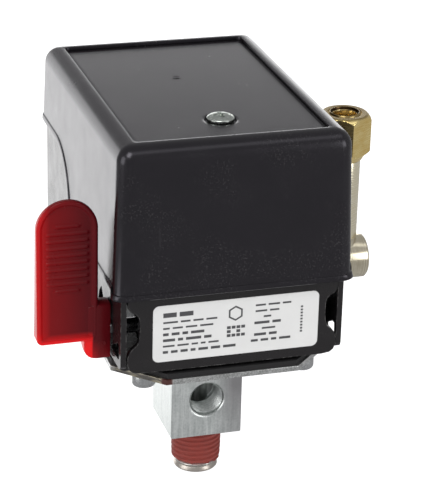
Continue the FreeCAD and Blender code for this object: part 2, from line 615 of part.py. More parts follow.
def block_screws():
    """Two screws that hold the contact block on its bracket."""
    screws = []
    for x in (-BLOCK_SCREW_X, BLOCK_SCREW_X):
        slot = box(x - 3, x + 3, CARRIER_Y - 0.35, CARRIER_Y + 0.35, BLOCK_Z1 + 1, BLOCK_Z1 + 1.8)
        shank = rod(1.5, x, CARRIER_Y, BLOCK_Z0 - 3, BLOCK_Z1 - BLOCK_Z0 + 3)
        screws.append(rod(2.5, x, CARRIER_Y, BLOCK_Z1, 1.8).cut(slot).fuse(shank))
    return Part.makeCompound(screws)


def contact_carrier():
    """Moulded T that stands over the beam and carries both bridging contacts."""
    stem = box(-3.6, 3.6, CARRIER_Y - 3.8, CARRIER_Y + 3.8, BEAM_Z + SHEET + 0.3, 65)
    return stem.fuse(box(-13, 13, CARRIER_Y - 3, CARRIER_Y + 3, 64.8, 68.3))


def contact_bridges():
    """Two copper strips, each with a silver contact at either end."""
    bridges = []
    for side in (-1, 1):
        x = side * 10
        strip = box(x - 2.2, x + 2.2, CARRIER_Y - 9, CARRIER_Y + 9, 63.9, 64.8)
        for y in (CARRIER_Y - CONTACT_REACH, CARRIER_Y + CONTACT_REACH):
            strip = strip.fuse(rod(1.6, x, y, 63.1, 0.8))
        bridges.append(strip)
    return Part.makeCompound(bridges)


def spring_bridge():
    """Steel strap over the carrier that holds the contact spring down."""
    strap = box(-23.9, 23.9, CARRIER_Y - 3, CARRIER_Y + 3, 76.2, 77.4)
    for x0 in (-23.9, 22.7):
        strap = strap.fuse(box(x0, x0 + 1.2, CARRIER_Y - 3, CARRIER_Y + 3, 70, 76.2))
    return strap


def ground_screw():
    """Green bonding screw on the floor, clear of the beam."""
    foot = FLOOR_Z + SHEET
    return hexagon(7, -18, 47.5, foot, 3.0)


def valve_body():
    """Turned body of the unloader valve with its threaded neck and the boss of the riser."""
    body = rod(VALVE_R, BASE_X + 0.05, VALVE_Y, VALVE_Z, VALVE_END - BASE_X - 0.05, X)
    end = [e for e in body.Edges if len(e.Vertexes) == 1 and e.CenterOfMass.x > VALVE_END - 1]
    body = body.makeChamfer(0.5, end)
    body = body.fuse(rod(NECK_R, 24.4, VALVE_Y, VALVE_Z, BASE_X - 24.3, X))
    body = body.fuse(rod(RISER_R, RISER_X, VALVE_Y, VALVE_Z, RISER_FOOT - VALVE_Z))
    body = body.cut(rod(1.6, 24, VALVE_Y, VALVE_Z, 12, X))
    body = body.cut(rod(BORE_R, 33.5, VALVE_Y, VALVE_Z, VALVE_END - 33.5, X))
    return body.cut(rod(SPIGOT_TUBE_R, RISER_X, VALVE_Y, VALVE_Z, 10))


def valve_riser():
    """Tube brazed in the valve body, threaded at the top for the compression nut."""
    riser = rod(SPIGOT_TUBE_R, RISER_X, VALVE_Y, RISER_FOOT - 2, 3)
    riser = riser.fuse(rod(RISER_R, RISER_X, VALVE_Y, RISER_FOOT + 0.02, NUT_LOW - 0.2 - RISER_FOOT - 0.02))
    riser = riser.fuse(rod(4.7, RISER_X, VALVE_Y, NUT_LOW - 0.2, RISER_TOP - NUT_LOW + 0.2))
    return riser.cut(rod(2.2, RISER_X, VALVE_Y, 44, 34))


def compression_nut():
    """Brass hexagonal nut with a tapered skirt and a chamfered tube bore."""
    nut = hexagon(NUT_AF, RISER_X, VALVE_Y, NUT_HEX_LOW, NUT_TOP - NUT_HEX_LOW)
    skirt = Part.makeCone(5.2, 6.2, NUT_HEX_LOW - NUT_LOW, V(RISER_X, VALVE_Y, NUT_LOW), Z)
    nut = nut.fuse(skirt)
    nut = nut.cut(rod(4.78, RISER_X, VALVE_Y, NUT_LOW, SEAT_Z - NUT_LOW))
    nut = nut.cut(rod(BORE_R, RISER_X, VALVE_Y, NUT_LOW, NUT_TOP))
    return nut.cut(Part.makeCone(BORE_R, BORE_R + 0.4, 0.4, V(RISER_X, VALVE_Y, NUT_TOP - 0.4), Z))


def ferrule():
    """Brass sleeve that grips the tube inside the nut."""
    sleeve = ring(3.5, TUBE_R, RISER_X, VALVE_Y, 76.4, 5.0)
    return sleeve.fuse(ring(4.4, TUBE_R, RISER_X, VALVE_Y, 76.4, 1.1))


def valve_jam_nut():
    """Thin nut that clamps the valve to the end plate."""
    nut = hexagon(13, 24.5, VALVE_Y, VALVE_Z, BASE_X - SHEET - 24.5, X)
    return nut.cut(rod(NECK_R, 24, VALVE_Y, VALVE_Z, 6, X))


def valve_pin():
    """Round-nosed pin that the beam's tab pushes to open the valve."""
    tip_x = 20.84
    pin = rod(1.5, tip_x, VALVE_Y, VALVE_Z, 36.0 - tip_x, X)
    pin = pin.fuse(Part.makeSphere(1.5, V(tip_x, VALVE_Y, VALVE_Z)))
    return pin.fuse(rod(3.2, 34.4, VALVE_Y, VALVE_Z, 1.6, X))


def valve_seal():
    """Rubber face on the head of the pin."""
    return rod(3.2, 36.0, VALVE_Y, VALVE_Z, 1.0, X)


def valve_spring():
    """Return spring of the valve pin."""
    spring = coil(2.5, 0.35, 0, 0, 0, 9.3, 6)
    spring.Placement = FreeCAD.Placement(V(38.1, VALVE_Y, VALVE_Z), FreeCAD.Rotation(Z, X))
    return spring


def valve_plug():
    """End plug with a vent hole and a screwdriver slot, flush with the body."""
    plug = rod(BORE_R, 47.5, VALVE_Y, VALVE_Z, VALVE_END - 47.5, X)
    plug = plug.cut(rod(0.8, 47, VALVE_Y, VALVE_Z, 5, X))
    return plug.cut(box(VALVE_END - 0.7, VALVE_END, VALVE_Y - 0.6, VALVE_Y + 0.6, VALVE_Z - 6, VALVE_Z + 6))


def springs():
    """The three upright compression springs."""
    return {
        "range_spring": coil(7.6, 1.15, 0, RANGE_Y, BEAM_Z + SHEET + 1.25, 68.95, 5),
        "differential_spring": coil(3.6, 0.55, DIFF_X, DIFF_Y, BEAM_Z + SHEET + 0.05, 58.1, 6),
        "contact_spring": coil(3.0, 0.4, 0, CARRIER_Y, 68.35, 76.15, 5),
    }


def build():
    """Every piece under the name of its node."""
    pieces = {
        "manifold_block": manifold_block(),
        "thread_sealant": thread_sealant(),
        "diaphragm_flange": diaphragm_flange(),
        "diaphragm": diaphragm(),
        "flange_screws": flange_screws(),
        "base_channel": base_channel(),
        "end_plate_left": end_plate_left(),
        "end_plate_right": end_plate_right(),
        "rating_label": rating_label(),
        "cover": cover(),
        "cover_screw": cover_screw(),
        "cover_post": cover_post(),
        "lever": lever(),
        "lever_shaft": lever_shaft(),
        "lever_clip": lever_clip(),
        "lever_cam": lever_cam(),
        "detent_spring": detent_spring(),
        "pivot_bracket": pivot_bracket(),
        "beam_pivot_pin": beam_pivot_pin(),
        "actuator_beam": actuator_beam(),
        "piston": piston(),
        "range_stud": range_stud(),
        "range_seat": range_seat(),
        "range_washer": range_washer(),
        "range_nut": range_nut(),
        "differential_stud": differential_stud(),
        "differential_nut": differential_nut(),
        "contact_bracket": contact_bracket(),
        "contact_block": contact_block(),
        "terminals": terminals(),
        "terminal_screws": terminal_screws(),
        "block_screws": block_screws(),
        "contact_carrier": contact_carrier(),
        "contact_bridges": contact_bridges(),
        "spring_bridge": spring_bridge(),
        "ground_screw": ground_screw(),
        "valve_body": valve_body(),
        "valve_riser": valve_riser(),
        "compression_nut": compression_nut(),
        "ferrule": ferrule(),
        "valve_jam_nut": valve_jam_nut(),
        "valve_pin": valve_pin(),
        "valve_seal": valve_seal(),
        "valve_spring": valve_spring(),
        "valve_plug": valve_plug(),
    }
    pieces.update(springs())
    return pieces


os.makedirs("parts", exist_ok=True)
for name, shape in build().items():
    print("%-20s solids %d valid %s volume %.1f" % (name, len(shape.Solids), shape.isValid(), shape.Volume))
    shape.exportStep("parts/%s.step" % name)
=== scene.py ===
"""Looks of the pressure switch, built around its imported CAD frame. Metres throughout."""
import bmesh
import bpy
import json
import random
from math import copysign, cos, hypot, pi, radians, sin, sqrt, tanh
from mathutils import Matrix, Vector


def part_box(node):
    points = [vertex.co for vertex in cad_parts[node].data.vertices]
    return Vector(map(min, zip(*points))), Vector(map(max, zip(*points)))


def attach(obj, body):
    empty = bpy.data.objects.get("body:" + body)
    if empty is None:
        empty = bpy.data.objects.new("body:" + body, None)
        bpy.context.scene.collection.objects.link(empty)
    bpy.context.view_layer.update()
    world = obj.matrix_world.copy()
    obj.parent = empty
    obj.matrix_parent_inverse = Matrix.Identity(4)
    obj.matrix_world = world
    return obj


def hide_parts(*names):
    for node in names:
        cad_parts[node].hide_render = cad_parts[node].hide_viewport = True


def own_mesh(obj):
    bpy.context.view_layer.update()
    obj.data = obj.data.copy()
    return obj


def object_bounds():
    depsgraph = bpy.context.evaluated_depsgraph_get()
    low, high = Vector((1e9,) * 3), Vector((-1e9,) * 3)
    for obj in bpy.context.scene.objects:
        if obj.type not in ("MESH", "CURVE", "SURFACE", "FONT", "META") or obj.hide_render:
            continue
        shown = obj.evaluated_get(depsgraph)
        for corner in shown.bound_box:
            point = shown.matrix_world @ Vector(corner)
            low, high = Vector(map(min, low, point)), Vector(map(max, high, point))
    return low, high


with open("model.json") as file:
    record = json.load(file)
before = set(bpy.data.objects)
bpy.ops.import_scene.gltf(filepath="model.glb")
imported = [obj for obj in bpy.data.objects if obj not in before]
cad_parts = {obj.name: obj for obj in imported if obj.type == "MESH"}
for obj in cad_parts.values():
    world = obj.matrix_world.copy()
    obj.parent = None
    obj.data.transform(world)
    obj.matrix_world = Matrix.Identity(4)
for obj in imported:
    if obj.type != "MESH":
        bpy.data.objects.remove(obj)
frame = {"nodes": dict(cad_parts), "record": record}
cad_box = [list(corner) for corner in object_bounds()]

MM = 0.001
nodes = frame["nodes"]
slot_of = {part["node"]: part["material_slot"] for part in frame["record"]["subparts"]}


def link(thing):
    """Puts an object into the scene."""
    bpy.context.scene.collection.objects.link(thing)


def circle(steps):
    """Angles of evenly spaced points once round."""
    return [2 * pi * k / steps for k in range(steps)]


def middle(node):
    """Centre of a CAD node's box."""
    low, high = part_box(node)
    return (low + high) / 2


# ---- materials

class Shader:
    """A short way to write a node tree: every method returns the socket that carries its result."""

    def __init__(self, name):
        self.material = bpy.data.materials.new(name)
        self.material.use_nodes = True
        self.tree = self.material.node_tree
        self.surface = self.tree.nodes["Principled BSDF"]
        self.place = self.add("ShaderNodeTexCoord").outputs["Object"]

    def add(self, kind, inputs=None, **settings):
        node = self.tree.nodes.new(kind)
        for key, value in settings.items():
            setattr(node, key, value)
        for key, value in (inputs or {}).items():
            if isinstance(value, bpy.types.NodeSocket):
                self.tree.links.new(value, node.inputs[key])
            else:
                node.inputs[key].default_value = value
        return node

    def stretched(self, x=1.0, y=1.0, z=1.0):
        """Object coordinates in millimetres, stretched per axis."""
        scale = (x / MM, y / MM, z / MM)
        return self.add("ShaderNodeMapping", {"Vector": self.place, "Scale": scale}).outputs["Vector"]

    def axes(self):
        """The three object coordinates, in millimetres."""
        split = self.add("ShaderNodeSeparateXYZ", {"Vector": self.stretched()})
        return [split.outputs[axis] for axis in "XYZ"]

    def noise(self, size, detail=3.0, stretch=(1, 1, 1), rough=0.55):
        """Noise whose blobs are about size millimetres."""
        inputs = {"Vector": self.stretched(*stretch), "Scale": 1.0 / size, "Detail": detail,
                  "Roughness": rough}
        return self.add("ShaderNodeTexNoise", inputs).outputs["Fac"]

    def span(self, value, low, high, to_low=0.0, to_high=1.0):
        inputs = {"Value": value, "From Min": low, "From Max": high, "To Min": to_low, "To Max": to_high}
        return self.add("ShaderNodeMapRange", inputs).outputs["Result"]

    def blend(self, amount, first, second):
        node = self.add("ShaderNodeMix", data_type="RGBA")
        for socket, value in ((node.inputs[0], amount), (node.inputs[6], first), (node.inputs[7], second)):
            if isinstance(value, bpy.types.NodeSocket):
                self.tree.links.new(value, socket)
            else:
                socket.default_value = value if isinstance(value, float) else (*value, 1.0)
        return node.outputs[2]

    def math(self, operation, first, second=0.0):
        node = self.add("ShaderNodeMath", operation=operation)
        for socket, value in zip(node.inputs, (first, second)):
            if isinstance(value, bpy.types.NodeSocket):
                self.tree.links.new(value, socket)
            else:
                socket.default_value = value
        return node.outputs[0]

    def times(self, first, second):
        return self.math("MULTIPLY", first, second)

    def plus(self, first, second):
        return self.math("ADD", first, second)

    def minus(self, first, second):
        return self.math("SUBTRACT", first, second)

    def bump(self, height, strength, depth, below=None):
        """Bump whose full height is depth millimetres."""
        inputs = {"Height": height, "Strength": strength, "Distance": depth * MM}
        if below is not None:
            inputs["Normal"] = below
        return self.add("ShaderNodeBump", inputs).outputs["Normal"]

    def finish(self, colour=None, roughness=None, normal=None, **constants):
        """Links what varies and sets what doesn't on the shader's own sockets."""
        for key, socket in (("Base Color", colour), ("Roughness", roughness), ("Normal", normal)):
            if isinstance(socket, bpy.types.NodeSocket):
                self.tree.links.new(socket, self.surface.inputs[key])
            elif socket is not None:
                self.surface.inputs[key].default_value = socket
        for key, value in constants.items():
            self.surface.inputs[key.replace("_", " ").title().replace("Ior", "IOR")].default_value = value
        return self.material


def moulded_black():
    """Satin black thermoplastic with a fine moulded grain, faint rubs and a little pale dust."""
    s = Shader("moulded_black")
    cloud = s.noise(9.0, 4.0)
    grain = s.noise(0.16, 2.0)
    rubs = s.span(s.noise(1.2, 1.0, (1.0, 1.0, 0.05)), 0.68, 0.71)
    rubs = s.times(rubs, s.span(cloud, 0.58, 0.68))
    dust = s.times(s.span(s.noise(0.42, 2.0), 0.57, 0.68), s.span(s.noise(14.0, 2.0), 0.44, 0.60))
    colour = s.blend(cloud, (0.0040, 0.0034, 0.0042), (0.0058, 0.0050, 0.0060))
    colour = s.blend(s.times(rubs, 0.05), colour, (0.09, 0.085, 0.09))
    colour = s.blend(s.times(dust, 0.16), colour, (0.12, 0.115, 0.115))
    roughness = s.plus(s.span(cloud, 0.3, 0.7, 0.2, 0.26), s.times(rubs, 0.04))
    return s.finish(colour, roughness, s.bump(grain, 0.18, 0.02), ior=1.5,
                    specular_tint=(0.93, 0.90, 1.0, 1.0))


def black_enamel():
    """Gloss black enamel on sheet steel, a little worn at the edges."""
    s = Shader("black_enamel")
    cloud = s.noise(6.0, 4.0)
    peel = s.noise(0.9, 2.0)
    turned_in = s.add("ShaderNodeBevel", {"Radius": 0.35 * MM}, samples=4).outputs["Normal"]
    true = s.add("ShaderNodeNewGeometry").outputs["Normal"]
    facing = s.add("ShaderNodeVectorMath", operation="DOT_PRODUCT")
    s.tree.links.new(turned_in, facing.inputs[0])
    s.tree.links.new(true, facing.inputs[1])
    worn = s.times(s.span(facing.outputs["Value"], 0.985, 0.92), s.span(s.noise(1.4, 3.0), 0.46, 0.60))
    colour = s.blend(cloud, (0.0050, 0.0040, 0.0046), (0.0085, 0.0072, 0.0078))
    colour = s.blend(s.times(worn, 0.7), colour, (0.16, 0.155, 0.15))
    roughness = s.plus(s.span(cloud, 0.3, 0.7, 0.2, 0.3), s.times(worn, 0.15))
    return s.finish(colour, roughness, s.bump(peel, 0.12, 0.05), ior=1.52)


def red_plastic():
    """Glossy red moulding with painted light: lighter at its left edge, its foot and its hub, and painted
    shade darkening it towards the right.
    """
    s = Shader("red_plastic")
    flow = s.noise(7.0, 3.0, (1.0, 1.0, 0.35))
    grain = s.noise(0.3, 2.0)
    across, _, up = s.axes()
    # Painted light: a lighter band along the paddle's left edge and along its foot.
    painted_light = s.math("MAXIMUM", s.span(across, -47.9, -44.6, 1.0, 0.0), s.span(up, 37.8, 39.8, 1.0, 0.0))
    painted_light = s.times(painted_light, s.span(across, -33.8, -34.2))
    # Painted light on the hub's front, fading upwards.
    hub = s.times(s.span(across, -35.5, -32.0, 0.6, 0.1), s.span(up, 32.5, 37.2, 1.0, 0.0))
    painted_light = s.times(s.math("MAXIMUM", painted_light, hub), s.span(flow, 0.3, 0.7, 0.85, 1.1))
    # Painted light: the red is lit brighter at the foot than higher up.
    painted_lit_red = s.blend(s.span(up, 38.0, 41.0), (0.62, 0.006, 0.008), (0.42, 0.006, 0.008))
    # Painted shade: the red darkens towards the right.
    painted_shade_red = s.blend(s.span(across, -46.0, -35.0), (0.165, 0.0035, 0.005), (0.085, 0.0035, 0.006))
    colour = s.blend(painted_light, painted_shade_red, painted_lit_red)
    roughness = s.span(flow, 0.3, 0.7, 0.2, 0.3)
    return s.finish(colour, roughness, s.bump(grain, 0.12, 0.03), ior=1.46, specular_ior_level=0.16)


def plated(name, dark, light, grain_size, stretch, rough_low, rough_high, relief=0.35):
    """Plated or bare metal whose grain may be drawn out along an axis."""
    s = Shader(name)
    cloud = s.noise(5.0, 4.0)
    grain = s.noise(grain_size, 3.0, stretch)
    mottle = s.noise(0.55, 3.0)
    mix = s.plus(s.times(cloud, 0.45), s.times(mottle, 0.55))
    colour = s.blend(s.span(mix, 0.36, 0.64), dark, light)
    roughness = s.span(s.plus(s.times(grain, 0.6), s.times(cloud, 0.4)),
                       0.35, 0.65, rough_low, rough_high)
    return s.finish(colour, roughness, s.bump(grain, relief, 0.03), metallic=1.0)


def turned(name, dark, light, axis, rough_low, rough_high, pitch=0.22):
    """Lathe-turned metal: fine rings across the part's axis."""
    s = Shader(name)
    along = s.axes()["XYZ".index(axis)]
    rings = s.add("ShaderNodeTexNoise", {"W": s.times(along, 1.0 / pitch), "Scale": 1.0,
                                         "Detail": 3.0}, noise_dimensions="1D").outputs["Fac"]
    cloud = s.noise(4.0, 3.0)
    colour = s.blend(s.span(s.plus(s.times(rings, 0.5), s.times(cloud, 0.5)),
                            0.35, 0.65), dark, light)
    roughness = s.span(rings, 0.3, 0.7, rough_low, rough_high)
    return s.finish(colour, roughness, s.bump(rings, 0.5, 0.02), metallic=1.0)


def dull(name, dark, light, size, rough_low, rough_high, relief, depth=0.08, ior=1.5):
    """Matt moulded, printed or rubbery surface."""
    s = Shader(name)
    cloud = s.noise(size, 4.0)
    grain = s.noise(size * 0.12, 3.0)
    colour = s.blend(cloud, dark, light)
    roughness = s.span(cloud, 0.3, 0.7, rough_low, rough_high)
    return s.finish(colour, roughness, s.bump(grain, relief, depth), ior=ior)


def flange_plate():
    """Zinc plate, with dark and golden-brown patches along its front-left chamfer, and a rusty spot at the
    corner.
    """
    s = Shader("flange_plate")
    cloud = s.noise(3.0, 4.0)
    speck = s.noise(0.4, 3.0)
    across, along, _ = s.axes()
    mix = s.plus(s.times(cloud, 0.4), s.times(speck, 0.6))
    colour = s.blend(s.span(mix, 0.38, 0.6), (0.38, 0.385, 0.375), (0.78, 0.79, 0.78))
    # Dark and golden-brown patches confined to the front-left chamfer.
    chamfer = s.times(s.span(across, -17.6, -18.6), s.span(along, -19.5, -21.0))
    patches = s.span(s.noise(5.0, 2.0, (1.0, 1.0, 6.0)), 0.42, 0.62)
    chamfer_patch_colour = s.blend(patches, (0.12, 0.105, 0.09), (0.62, 0.55, 0.38))
    colour = s.blend(s.times(chamfer, 0.85), colour, chamfer_patch_colour)
    near = s.minus(s.math("ABSOLUTE", s.plus(across, 17.2)), s.times(speck, 0.8))
    rust = s.times(s.span(near, 1.3, 0.7), s.span(along, -29.5, -30.5))
    colour = s.blend(rust, colour, (0.055, 0.014, 0.010))
    metal = s.minus(1.0, rust)
    s.tree.links.new(metal, s.surface.inputs["Metallic"])
    roughness = s.span(mix, 0.38, 0.62, 0.46, 0.32)
    return s.finish(colour, roughness, s.bump(speck, 0.35, 0.03))


def drawn_bar():
    """Bright zinc on a cold-drawn bar: upright streaks, painted shade on its right side that deepens upwards,
    brown at the tail's bare end.
    """
    s = Shader("drawn_bar")
    cloud = s.noise(5.0, 4.0)
    streak = s.noise(0.5, 3.0, (1.0, 1.0, 0.06))
    mottle = s.noise(0.6, 3.0)
    across, _, up = s.axes()
    mix = s.plus(s.times(cloud, 0.3), s.times(mottle, 0.3))
    mix = s.plus(mix, s.times(streak, 0.4))
    colour = s.blend(s.span(mix, 0.38, 0.62), (0.64, 0.68, 0.66), (0.94, 0.97, 0.95))
    # Painted shade: the bar's right side darkens, more so higher up.
    painted_side_shade = s.times(s.span(across, 2.0, 7.0), s.span(up, 2.0, 14.0, 0.4, 0.85))
    colour = s.blend(painted_side_shade, colour, (0.36, 0.345, 0.355))
    colour = s.blend(s.span(up, -10.6, -11.6, 0.0, 0.7), colour, (0.42, 0.34, 0.28))
    roughness = s.span(mix, 0.35, 0.65, 0.28, 0.46)
    return s.finish(colour, roughness, s.bump(streak, 0.4, 0.03), metallic=1.0)


def nut_brass():
    """Turned brass, darker brown across its top, with painted shade near black in its bore."""
    s = Shader("nut_brass")
    across, along, up = s.axes()
    centre = middle("compression_nut") / MM
    out_x = s.minus(across, centre.x)
    out_y = s.minus(along, centre.y)
    out = s.math("SQRT", s.plus(s.times(out_x, out_x), s.times(out_y, out_y)))
    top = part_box("compression_nut")[1].z / MM
    cloud = s.noise(3.0, 3.0)
    rings = s.noise(0.5, 2.0, (0.15, 0.15, 2.5))
    mix = s.plus(s.times(cloud, 0.5), s.times(rings, 0.5))
    colour = s.blend(s.span(mix, 0.35, 0.65), (0.84, 0.60, 0.20), (1.0, 0.82, 0.38))
    colour = s.blend(s.times(s.span(up, top - 0.6, top - 0.1), 0.75), colour, (0.20, 0.14, 0.065))
    # Painted shade: near black inside the bore.
    colour = s.blend(s.span(out, 4.0, 3.7), colour, (0.07, 0.042, 0.018))
    roughness = s.span(rings, 0.3, 0.7, 0.2, 0.32)
    return s.finish(colour, roughness, s.bump(rings, 0.3, 0.02), metallic=1.0)


RECIPES = {
    "label_film": (dull, (0.59, 0.59, 0.585), (0.64, 0.64, 0.63), 5.0, 0.38, 0.5, 0.08, 0.02),
    "zinc_steel": (plated, (0.42, 0.43, 0.43), (0.62, 0.63, 0.63), 0.4, (1, 1, 1), 0.22, 0.38),
    "bright_zinc": (plated, (0.62, 0.65, 0.64), (0.86, 0.89, 0.88), 0.2, (1, 1, 0.12), 0.3, 0.46),
    "plain_steel": (plated, (0.34, 0.34, 0.35), (0.48, 0.48, 0.49), 0.3, (1, 1, 1), 0.2, 0.34),
    "spring_steel": (plated, (0.2, 0.2, 0.205), (0.34, 0.34, 0.345), 0.5, (1, 1, 1), 0.25, 0.4),
    "brick_sealant": (dull, (0.18, 0.020, 0.013), (0.28, 0.038, 0.026), 1.6, 0.5, 0.75, 0.5),
    "black_rubber": (dull, (0.004, 0.004, 0.004), (0.010, 0.009, 0.010), 2.5, 0.55, 0.8, 0.4),
    "phenolic": (dull, (0.028, 0.02, 0.017), (0.05, 0.036, 0.03), 3.0, 0.4, 0.6, 0.25),
    "yellow_brass": (turned, (0.75, 0.58, 0.28), (0.95, 0.78, 0.42), "Z", 0.14, 0.26),
    "copper": (plated, (0.55, 0.24, 0.13), (0.76, 0.42, 0.28), 0.35, (1, 0.3, 1), 0.2, 0.36),
    "green_zinc": (dull, (0.03, 0.2, 0.06), (0.06, 0.32, 0.1), 2.0, 0.3, 0.45, 0.2),
    "yellow_zinc": (turned, (0.56, 0.50, 0.36), (0.84, 0.78, 0.62), "X", 0.14, 0.26, 0.3),
    "label_ink": (dull, (0.035, 0.035, 0.037), (0.075, 0.075, 0.08), 1.0, 0.45, 0.6, 0.1, 0.02),
    # Painted light: a lighter copy of yellow_zinc, with its rings round Z, for the upright riser.
    "yellow_zinc_upright": (turned, (0.92, 0.83, 0.60), (1.0, 0.94, 0.74), "Z", 0.16, 0.3),
    "screw_plate": (plated, (0.38, 0.41, 0.38), (0.58, 0.61, 0.57), 0.5, (1, 1, 1), 0.18, 0.3),
}
MATERIALS = {name: make(name, *values) for name, (make, *values) in RECIPES.items()}
for make in (black_enamel, red_plastic, flange_plate, drawn_bar, nut_brass):
    MATERIALS[make.__name__] = make()
MATERIALS["black_cover_plastic"] = moulded_black()


# ---- mesh helpers

BROAD_FACE = 30 * MM ** 2       # area from which a face counts as broad


def shade(mesh, sharp_degrees=32.0):
    """Smooth faces, with edges above an angle kept sharp; broad flat faces stay flat."""
    bm = bmesh.new()
    bm.from_mesh(mesh)
    bmesh.ops.recalc_face_normals(bm, faces=bm.faces)
    for edge in bm.edges:
        folded = len(edge.link_faces) == 2 and edge.calc_face_angle(0.0) > radians(sharp_degrees)
        edge.smooth = not folded
    for face in bm.faces:
        face.smooth = len(face.verts) <= 4 and face.calc_area() < BROAD_FACE
    bm.to_mesh(mesh)
    bm.free()


def dress(piece, body, slot, nodes_replaced=(), material=None):
    """Gives a piece its body and its material, the slot's unless another is named, and hides the CAD nodes
    that it stands for.
    """
    piece.data.materials.clear()
    piece.data.materials.append(MATERIALS[material or slot])
    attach(piece, body)
    if nodes_replaced:
        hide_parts(*nodes_replaced)
    return piece


def piece_from(name, vertices, faces, sharp_degrees=32.0):
    """A shaded mesh object, linked into the scene."""
    mesh = bpy.data.meshes.new(name)
    mesh.from_pydata([tuple(v) for v in vertices], [], faces)
    mesh.validate()
    shade(mesh, sharp_degrees)
    piece = bpy.data.objects.new(name, mesh)
    link(piece)
    return piece


class Build:
    """Collects vertices and faces of several closed forms into one mesh."""

    def __init__(self):
        self.vertices, self.faces = [], []

    def loops(self, rings, close_first=True, close_last=True):
        """Skin over closed rings of equal length."""
        count = len(rings[0])
        base = len(self.vertices)
        for ring in rings:
            self.vertices += [Vector(p) for p in ring]
        for row in range(len(rings) - 1):
            for k in range(count):
                a, b = base + row * count + k, base + row * count + (k + 1) % count
                self.faces.append((a, b, b + count, a + count))
        if close_first:
            self.faces.append(tuple(base + k for k in range(count)))
        if close_last:
            last = base + (len(rings) - 1) * count
            self.faces.append(tuple(last + k for k in reversed(range(count))))

    def add_mesh(self, mesh):
        base = len(self.vertices)
        self.vertices += [v.co.copy() for v in mesh.vertices]
        self.faces += [tuple(base + i for i in p.vertices) for p in mesh.polygons]

    def piece(self, name, sharp_degrees=32.0):
        return piece_from(name, self.vertices, self.faces, sharp_degrees)


def basis(axis):
    """Two directions square to an axis."""
    axis = Vector(axis).normalized()
    side = Vector((0, 0, 1)) if abs(axis.z) < 0.9 else Vector((1, 0, 0))
    u = side.cross(axis).normalized()
    return u, axis.cross(u), axis


def offsets(base, *pairs):
    """Profile points: each pair is a distance from the base and a radius, in millimetres."""
    return [(base + away * MM, radius * MM) for away, radius in pairs]


def lathe_rings(profile, centre, axis, steps=64):
    """Rings of a turned form: profile is (distance along the axis, radius)."""
    u, v, w = basis(axis)
    rings = []
    for along, radius in profile:
        rings.append([Vector(centre) + w * along + (u * cos(t) + v * sin(t)) * radius
                      for t in circle(steps)])
    return rings


def softened(node, width=0.15 * MM, segments=2, limit=28.0):
    """Copy of a CAD node's mesh with its sharp edges rounded."""
    bm = bmesh.new()
    bm.from_mesh(nodes[node].data)
    bmesh.ops.remove_doubles(bm, verts=bm.verts, dist=2e-6)
    bmesh.ops.dissolve_limit(bm, angle_limit=radians(0.4), verts=bm.verts, edges=bm.edges)
    mesh = bpy.data.meshes.new(node + "_mesh")
    bm.to_mesh(mesh)
    bm.free()
    piece = bpy.data.objects.new(node + "_detailed", mesh)
    link(piece)
    rounding = piece.modifiers.new("rounding", "BEVEL")
    rounding.limit_method = "ANGLE"
    rounding.angle_limit = radians(limit)
    rounding.width = width
    rounding.segments = segments
    settle(piece)
    return piece


def settle(piece, sharp_degrees=32.0):
    """Applies a piece's modifiers."""
    bpy.context.view_layer.update()
    seen = piece.evaluated_get(bpy.context.evaluated_depsgraph_get())
    mesh = bpy.data.meshes.new_from_object(seen)
    piece.modifiers.clear()
    piece.data = mesh
    shade(mesh, sharp_degrees)


def body_of(node):
    """Name of the moving body that carries a CAD node."""
    return next(name for name, members in frame["record"]["behaviour"]["bodies"].items() if node in members)


def dress_softened(node, width=0.15 * MM, segments=2, material=None):
    """A CAD node with its edges rounded, in its own material."""
    piece = softened(node, width, segments)
    return dress(piece, body_of(node), slot_of[node], (node,), material)


# ---- cover

COVER_LEAN = 1.2 * MM           # each side, over the full height
COVER_WALL = 1.0 * MM
COVER_CORNER = 3.5 * MM
CROWN = 4.1 * MM                # rounding between the sides and the top
BAND = 1.6 * MM                 # height of the proud band round the lower edge
BAND_PROUD = 0.28 * MM
FLARE = 0.45 * MM               # the lower edge turns out this much at the front corners
SUNK = 0.9 * MM
BORE_R, BORE_FLOOR = 4.1 * MM, 1.5 * MM     # round sink for the screw's head, measured from the top
SUNK_MARGIN = 6.3 * MM
SUNK_CORNER = 1.3 * MM
SIDE_RISE = 1.7 * MM            # the side edges stand this much above the front edge
REAR_RISE = 18.4 * MM
ARC_START, ARC_END = 19.0 * MM, 36.0 * MM


def smooth_step(t):
    """Eased ramp from 0 to 1."""
    t = min(max(t, 0.0), 1.0)
    return t * t * (3 - 2 * t)


